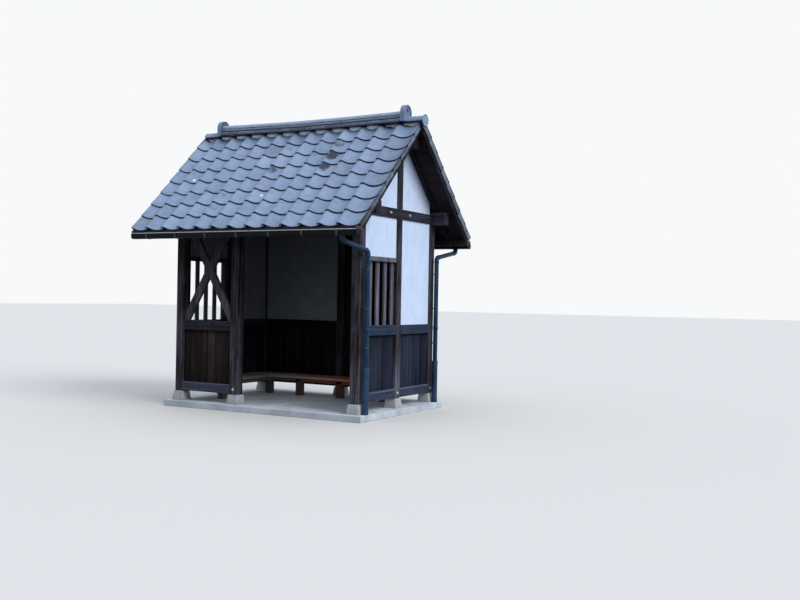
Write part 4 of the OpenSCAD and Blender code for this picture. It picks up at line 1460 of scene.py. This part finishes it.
@dataclass
class Gutters:
    """Box-like vinyl gutters with a pale rolled rim, end caps, straps and a board behind.

    The section is half of |y / width|^m + |z / depth|^m = 1 with the roundness m. The pale
    colour of the outer rolled rim is a painted highlight.
    """

    plan: Plan = Plan()
    half_width: float = 0.052
    depth: float = 0.070
    roundness: float = 5.0
    wall: float = 0.004
    rim: float = 0.0055
    setback: float = 0.043
    strap: Pair = (0.025, 0.003)
    arm_start: Pair = (1.3215, 2.3210)
    arm_drop: float = 0.006
    arm_thick: float = 0.008
    straps: int = 7
    strap_reach: float = 1.4475
    board: tuple[float, float, float, float] = (1.366, 1.384, 2.222, 2.326)
    board_ends: float = 0.032
    board_edge: float = 0.002
    plate: tuple[float, float, float, float] = (1.375, 1.535, 2.240, 2.296)
    plate_thick: float = 0.006
    plate_back: float = 0.004
    bead_in: float = 0.001

    def outline(self, inset: float) -> np.ndarray:
        """Half section of the gutter, from one edge under the floor to the other.

        Args:
            inset: distance inside the outer face.

        Returns:
            Y and Z of its points.
        """
        a = np.linspace(math.pi, 2 * math.pi, 31)
        round_one = np.stack([np.cos(a), np.sin(a)], -1)
        bent = np.abs(round_one) ** (2 / self.roundness) * np.sign(round_one)
        return bent * (self.half_width - inset, self.depth - inset)

    def build(self) -> None:
        """Builds the gutters, their rims, the straps and the black boards as four pieces."""
        p, out = self.plan, self.half_width
        half = p.roof_half - self.setback
        outer, inner = self.outline(0.0), self.outline(self.wall)
        wall = np.concatenate([outer, inner[::-1]])
        lid = np.stack([np.linspace(out, -out, len(outer)), np.full(len(outer), -0.001)], -1)
        full = np.concatenate([outer, lid])
        wide, thick = self.strap
        strap = np.concatenate([self.outline(-thick), self.outline(-0.0002)[::-1]])
        y0, y1, z0, z1 = self.board
        a0, a1, b0, b1 = self.plate
        gutters, rims, straps, boards = [], [], [], []
        for turn, shift in ((1, 0.0), (-1, -p.front_shift)):
            here = np.array([turn * p.gutter_y, p.gutter_z])
            gutters.append(extrude(wall * (turn, 1) + here,
                                   (-half, -half + 0.001, half - 0.001, half)))
            for x0, x1 in ((-half, -half + self.wall), (half - self.wall, half)):
                gutters.append(extrude(full * (turn, 1) + here, (x0, x1)))
            for edge, beads in ((out - self.bead_in, rims), (self.bead_in - out, gutters)):
                path = np.array([(x, turn * (p.gutter_y + edge), p.gutter_z)
                                 for x in (-half, 0, half)])
                beads.append(tube(path, (self.rim,) * 3, (0, 1, 0), 10))
            for x in np.linspace(-self.strap_reach, self.strap_reach, self.straps):
                straps.append(extrude(strap * (turn, 1) + here, (x - wide / 2, x + wide / 2)))
                start = np.array([x, turn * self.arm_start[0], self.arm_start[1]])
                end = np.array([x, turn * (p.gutter_y - out + 0.001),
                                p.gutter_z - self.arm_drop])
                along = end - start
                flat = np.cross(along / np.linalg.norm(along), (1, 0, 0))
                straps.append(bar(tuple((start + end) / 2), tuple(along), (wide, 0, 0),
                                  tuple(flat * self.arm_thick), self.board_edge))
            boards.append(bar((shift, turn * (y0 + y1) / 2, (z0 + z1) / 2),
                              (2 * p.roof_half - self.board_ends, 0, 0), (0, y1 - y0, 0),
                              (0, 0, z1 - z0), self.board_edge))
            boards += [bar((way * (half - self.plate_back), turn * (a0 + a1) / 2, (b0 + b1) / 2),
                           (0, a1 - a0, 0), (self.plate_thick, 0, 0), (0, 0, b1 - b0), 0.001)
                       for way in (-1, 1)]
        vinyl = Cast("black_vinyl_moulded", "#0c0d0f", "#111215", "#191a1d", 5.0, 300.0,
                     0.0003, 0.5, shine=0.08)
        # Painted highlight: the outer bead is pale to stand for the light along the rim.
        painted_highlight_bead = Cast("vinyl_bead_painted_highlight", "#a3a5b2", "#b0b2be", "#bdbfca", 8.0, 300.0, 0.0003,
                     0.5)
        steel = Cast("painted_steel_strap", "#1b1c1f", "#26282b", "#35373b", 20.0, 300.0,
                     0.0004, 0.5)
        paint = Cast("black_painted_board", "#0c0c0d", "#121213", "#1b1b1d", 9.0, 260.0, 0.0005,
                     0.6)
        make_piece("gutter_channels", gutters, vinyl.build(), ("gutters",))
        make_piece("gutter_rims_painted_highlight", rims, painted_highlight_bead.build())
        make_piece("gutter_straps", straps, steel.build())
        make_piece("gutter_boards", boards, paint.build())


@dataclass
class Downpipes:
    """Vinyl downpipes with swan necks, sockets, clips and a guard tube at the foot.

    A profile lists heights above a foot and the radii there.
    """

    plan: Plan = Plan()
    x: float = 1.495
    outlet_z: float = 2.134057
    elbow_z: float = 2.036057
    outlet_drop: float = 0.069
    radius: float = 0.030
    turn_radius: float = 0.035
    sides: int = 24
    socket_off: Point = (0.036, 0.034, 0.036)
    socket: tuple[tuple[float, ...], ...] = ((0, 0.004, 0.034, 0.038),
                                             (0, 0.002, 0.014, 0.016))
    socket_growth: tuple[float, ...] = (1.0, 1.1, 1.1, 1.0)
    socket_tone: float = 0.1
    guard_h: float = 0.560
    guard_lap: float = 0.020
    guard_radii: tuple[float, ...] = (0.038, 0.040, 0.040, 0.037, 0.037, 0.040, 0.040, 0.039,
                                      0.034, 0.031)
    guard_sides: int = 28
    guard_tone: float = 0.3
    collar_z: float = 1.060
    collar: tuple[tuple[float, ...], ...] = ((0, 0.004, 0.056, 0.060),
                                             (0.030, 0.033, 0.033, 0.030))
    collar_tone: float = 0.12
    clips: int = 3
    clip: tuple[tuple[float, ...], ...] = ((0, 0.002, 0.018, 0.020),
                                           (0.0315, 0.0328, 0.0328, 0.0315))
    arm: Pair = (0.016, 0.008)

    def upright(self, turn: int, heights: np.ndarray, radii: tuple[float, ...], sides: int,
                tone: float = 0.0) -> Shell:
        """Round body about the pipe's upright line.

        Args:
            turn: 1 at the back and -1 at the front.
            heights: Z of each ring.
            radii: radius of each ring.
            sides: points in a ring.
            tone: shade of the piece.

        Returns:
            The surface.
        """
        path = np.array((self.x, turn * self.plan.bay, 0.0)) + heights[:, None] * (0, 0, 1)
        return tube(path, radii, (1, 0, 0), sides, tone, (0, 0, 1))

    def neck(self, turn: int, foot_z: float) -> list[Shell]:
        """Pipe from the gutter's outlet through the swan neck to the guard, with its sockets.

        Args:
            turn: 1 at the back and -1 at the front.
            foot_z: height of the pipe's foot.

        Returns:
            The pipe and four sockets.
        """
        p = self.plan
        bend = np.array((self.x, turn * p.gutter_y, self.outlet_z))
        elbow = np.array((self.x, turn * p.bay, self.elbow_z))
        path = rounded_path([(self.x, turn * p.gutter_y, p.gutter_z - self.outlet_drop), bend,
                             elbow, (self.x, turn * p.bay, foot_z)], self.turn_radius, 8)
        shells = [tube(path, np.full(len(path), self.radius), (1, 0, 0), self.sides)]
        slant = (elbow - bend) / np.linalg.norm(elbow - bend)
        up = np.array((0, 0, 1.0))
        on_slant, over, under = self.socket_off
        long, short = (np.array(stops)[:, None] for stops in self.socket)
        for at, way in ((bend + slant * on_slant, slant), (elbow - slant * on_slant, -slant),
                        (bend + up * over, up), (elbow - up * under, -up)):
            line = at + way * long
            if line[:, 2].max() > p.gutter_z - self.outlet_drop - 0.002:
                line = at + way * short
            shells.append(tube(line, np.array(self.socket_growth) * self.radius, (1, 0, 0),
                               self.sides, self.socket_tone))
        return shells

    def build(self) -> None:
        """Builds the downpipes, the guard tubes at their feet and the clips as three pieces."""
        p, high = self.plan, self.guard_h
        guard_top = p.slab + high
        steps = p.slab + np.array([0, 0.003, 0.037, 0.040, high - 0.04, high - 0.037,
                                   high - 0.003, high, high, high - 0.012])
        wall, end = p.side_x + p.half_post, self.x - self.radius
        wide, thick = self.arm
        pipes, guards, metal = [], [], []
        for turn in (-1, 1):
            pipes += self.neck(turn, guard_top - self.guard_lap)
            stops, radii = self.collar
            pipes.append(self.upright(turn, self.collar_z + np.array(stops), radii, self.sides,
                                      self.collar_tone))
            guards.append(self.upright(turn, steps, self.guard_radii, self.guard_sides,
                                       self.guard_tone))
            for i in range(self.clips):
                z = guard_top + (self.elbow_z - guard_top) / self.clips * (i + 0.5)
                stops, radii = self.clip
                metal.append(self.upright(turn, z + np.array(stops), radii, self.sides))
                metal.append(bar(((wall + end) / 2, turn * p.bay, z + stops[-1] / 2),
                                 (end - wall, 0, 0), (0, wide, 0), (0, 0, thick), 0.0015))
        vinyl = Cast("blue_black_vinyl_extruded", "#122a3f", "#183750", "#204866", 4.0, 260.0,
                     0.0003, 0.38, shine=0.12)
        grey = Cast("blue_grey_vinyl_guard", "#213548", "#2a4359", "#36536c", 4.0, 260.0,
                    0.0003, 0.4, shine=0.15)
        steel = Cast("painted_clip", "#14202c", "#1a2935", "#243444", 30.0, 400.0, 0.0003, 0.5)
        make_piece("downpipe_tubes", pipes, vinyl.build(), ("downpipes",))
        make_piece("downpipe_guards", guards, grey.build())
        make_piece("downpipe_clips", metal, steel.build())


@dataclass
class Bolts:
    """Round washers with hexagon nuts where beams are bolted through the posts.

    Each part lists its radius, its points in a ring, the growth of its rings and their stops.
    """

    plan: Plan = Plan()
    parts: tuple[tuple, ...] = ((0.019, 16, (0.93, 1.0, 1.0, 0.93), (0, 0.001, 0.003, 0.004)),
                                (0.012, 6, (1.0, 1.0, 0.9), (0.004, 0.012, 0.014)),
                                (0.006, 10, (1.0, 1.0, 0.7), (0.014, 0.018, 0.020)))
    tie_y: float = 0.250
    tie_z: float = 2.557
    sill_z: float = 0.2675

    def bolt(self, spot: tuple, out: tuple) -> list[Shell]:
        """Washer, nut and bolt end on a face.

        Args:
            spot: point on the face.
            out: unit vector out of the face.

        Returns:
            Their surfaces.
        """
        way = np.array(out, float)
        return [tube(np.array(spot, float) + way * np.array(stops)[:, None],
                     np.array(growth) * radius, (0, 0, 1.0), sides)
                for radius, sides, growth, stops in self.parts]

    def build(self) -> None:
        """Builds all bolt heads as one piece."""
        p = self.plan
        places = []
        for way in (-1, 1):
            for y, z in ((-self.tie_y, self.tie_z), (self.tie_y, self.tie_z),
                         (0, self.sill_z), (p.bay, self.sill_z)):
                places.append(((way * (p.side_x + p.half_post), y, z), (way, 0, 0)))
        places.append(((-p.bay / 2, -p.bay - p.half_post, self.sill_z), (0, -1, 0)))
        for x in (-p.side_x, 0, p.side_x):
            places.append(((x, p.bay + p.half_post, self.sill_z), (0, 1, 0)))
        shells = [s for spot, out in places for s in self.bolt(spot, out)]
        zinc = Cast("galvanised_steel", "#a9adb1", "#c3c6ca", "#dcdee0", 60.0, 500.0, 0.0002,
                    0.45, metal=0.3)
        make_piece("bolt_heads", shells, zinc.build(), smooth=30)


@dataclass
class RoofCarcass:
    """Boards over the rafters with the fascia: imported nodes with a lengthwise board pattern."""

    edge: float = 0.001

    def build(self) -> None:
        """Dresses the nodes."""
        board = StainedCedar("stained_cedar_roof_boards", Grain.ALONG_X, "#13100f", "#211b19",
                             "#332a25", streaks_per_metre=14.0).build()
        for node in ("roof_boards_front", "roof_boards_back"):
            dress_node(node, board, self.edge)


# Studio


@dataclass
class Studio:
    """Plain pale floor, soft light and a camera where the photograph was taken.

    The angles are in degrees.
    """

    spot: Point = (7.423, -10.827, 1.485)
    yaw: float = 28.926
    tilt: float = -0.122
    roll: float = 1.04
    lens: float = 43.54
    floor_half: float = 90.0
    pale: str = "#dad4ca"
    backdrop: str = "#f8f9fa"
    ground: str = "#5c5e60"
    sky: str = "#deeaff"
    sky_low: float = 0.40
    sky_high: float = 1.25
    sun: str = "#f1f7ff"
    sun_strength: float = 2.05
    sun_size: float = 35.0
    sun_turn: Point = (55.0, 0.0, 78.0)

    def camera(self) -> None:
        """Sets the camera from its place and its three angles."""
        a, e, r = (math.radians(v) for v in (self.yaw, self.tilt, self.roll))
        ahead = np.array([-math.sin(a) * math.cos(e), math.cos(a) * math.cos(e), math.sin(e)])
        level = np.array([math.cos(a), math.sin(a), 0.0])
        up = np.cross(level, ahead)
        right = math.cos(r) * level + math.sin(r) * up
        up = -math.sin(r) * level + math.cos(r) * up
        matrix = Matrix.Identity(4)
        for column, axis in enumerate((right, up, -ahead, self.spot)):
            for row in range(3):
                matrix[row][column] = axis[row]
        data = bpy.data.cameras.new("camera")
        data.lens = self.lens
        camera = bpy.data.objects.new("camera", data)
        camera.matrix_world = matrix
        bpy.context.scene.collection.objects.link(camera)
        bpy.context.scene.camera = camera

    def seen(self, tree: Tree) -> Socket:
        """Tells the rays that show the backdrop from those that carry light.

        Args:
            tree: node tree of the floor or the world.

        Returns:
            One for camera, glossy and transmission rays, and else zero.
        """
        share = 0.0
        for ray in ("Is Camera Ray", "Is Glossy Ray", "Is Transmission Ray"):
            share = add(tree, "Math", (add(tree, "LightPath", out=ray), share),
                        operation="MAXIMUM")
        return share

    def floor(self) -> None:
        """Makes a level floor that the camera sees pale and that returns less light."""
        half = self.floor_half
        mesh = bpy.data.meshes.new("floor")
        mesh.from_pydata([(-half, -half, 0), (half, -half, 0), (half, half, 0),
                          (-half, half, 0)], [], [(0, 1, 2, 3)])
        material, tree, _ = new_material("studio_floor")
        colour = add(tree, "Mix", {"Factor": self.seen(tree), "A": linear(self.ground),
                                   "B": linear(self.pale)}, data_type="RGBA")
        add(tree, "OutputMaterial", {"Surface": add(tree, "BsdfDiffuse", {"Color": colour})})
        mesh.materials.append(material)
        floor = bpy.data.objects.new("floor", mesh)
        bpy.context.scene.collection.objects.link(floor)

    def light(self) -> None:
        """Makes a sky that is brightest overhead and a soft sun from the right gable's side."""
        world = bpy.data.worlds.new("studio")
        world.use_nodes = True
        bpy.context.scene.world = world
        tree = world.node_tree
        tree.nodes.clear()
        height = add(tree, "SeparateXYZ", (add(tree, "TexCoord", out="Generated"),), out="Z")
        level = add(tree, "MapRange", (height, 0.0, 0.9, self.sky_low, self.sky_high))
        sky = add(tree, "Background", {"Color": linear(self.sky), "Strength": level})
        pale = add(tree, "Background", {"Color": linear(self.backdrop), "Strength": 1.0})
        add(tree, "OutputWorld",
            {"Surface": add(tree, "MixShader", (self.seen(tree), sky, pale))})
        data = bpy.data.lights.new("sun", "SUN")
        data.energy = self.sun_strength
        data.angle = math.radians(self.sun_size)
        data.color = linear(self.sun)[:3]
        sun = bpy.data.objects.new("sun", data)
        sun.rotation_euler = [math.radians(v) for v in self.sun_turn]
        bpy.context.scene.collection.objects.link(sun)

    def build(self) -> None:
        """Sets up camera, floor, light and the plain view transform."""
        self.camera()
        self.floor()
        self.light()
        bpy.context.scene.view_settings.view_transform = "Standard"


def main() -> None:
    """Builds the pieces in order."""
    logging.basicConfig(level=logging.INFO, format="%(name)s: %(message)s")
    for part in (Studio(), TimberFrame(), Masonry(), WallBoards(), Bench(), RoofCarcass()):
        part.build()
    tile = SmokedTile().build()
    for part in (RoofTiles(), Ridge()):
        part.build(tile)
    for part in (Gutters(), Downpipes(), Bolts()):
        part.build()


if __name__ == "__main__":
    main()
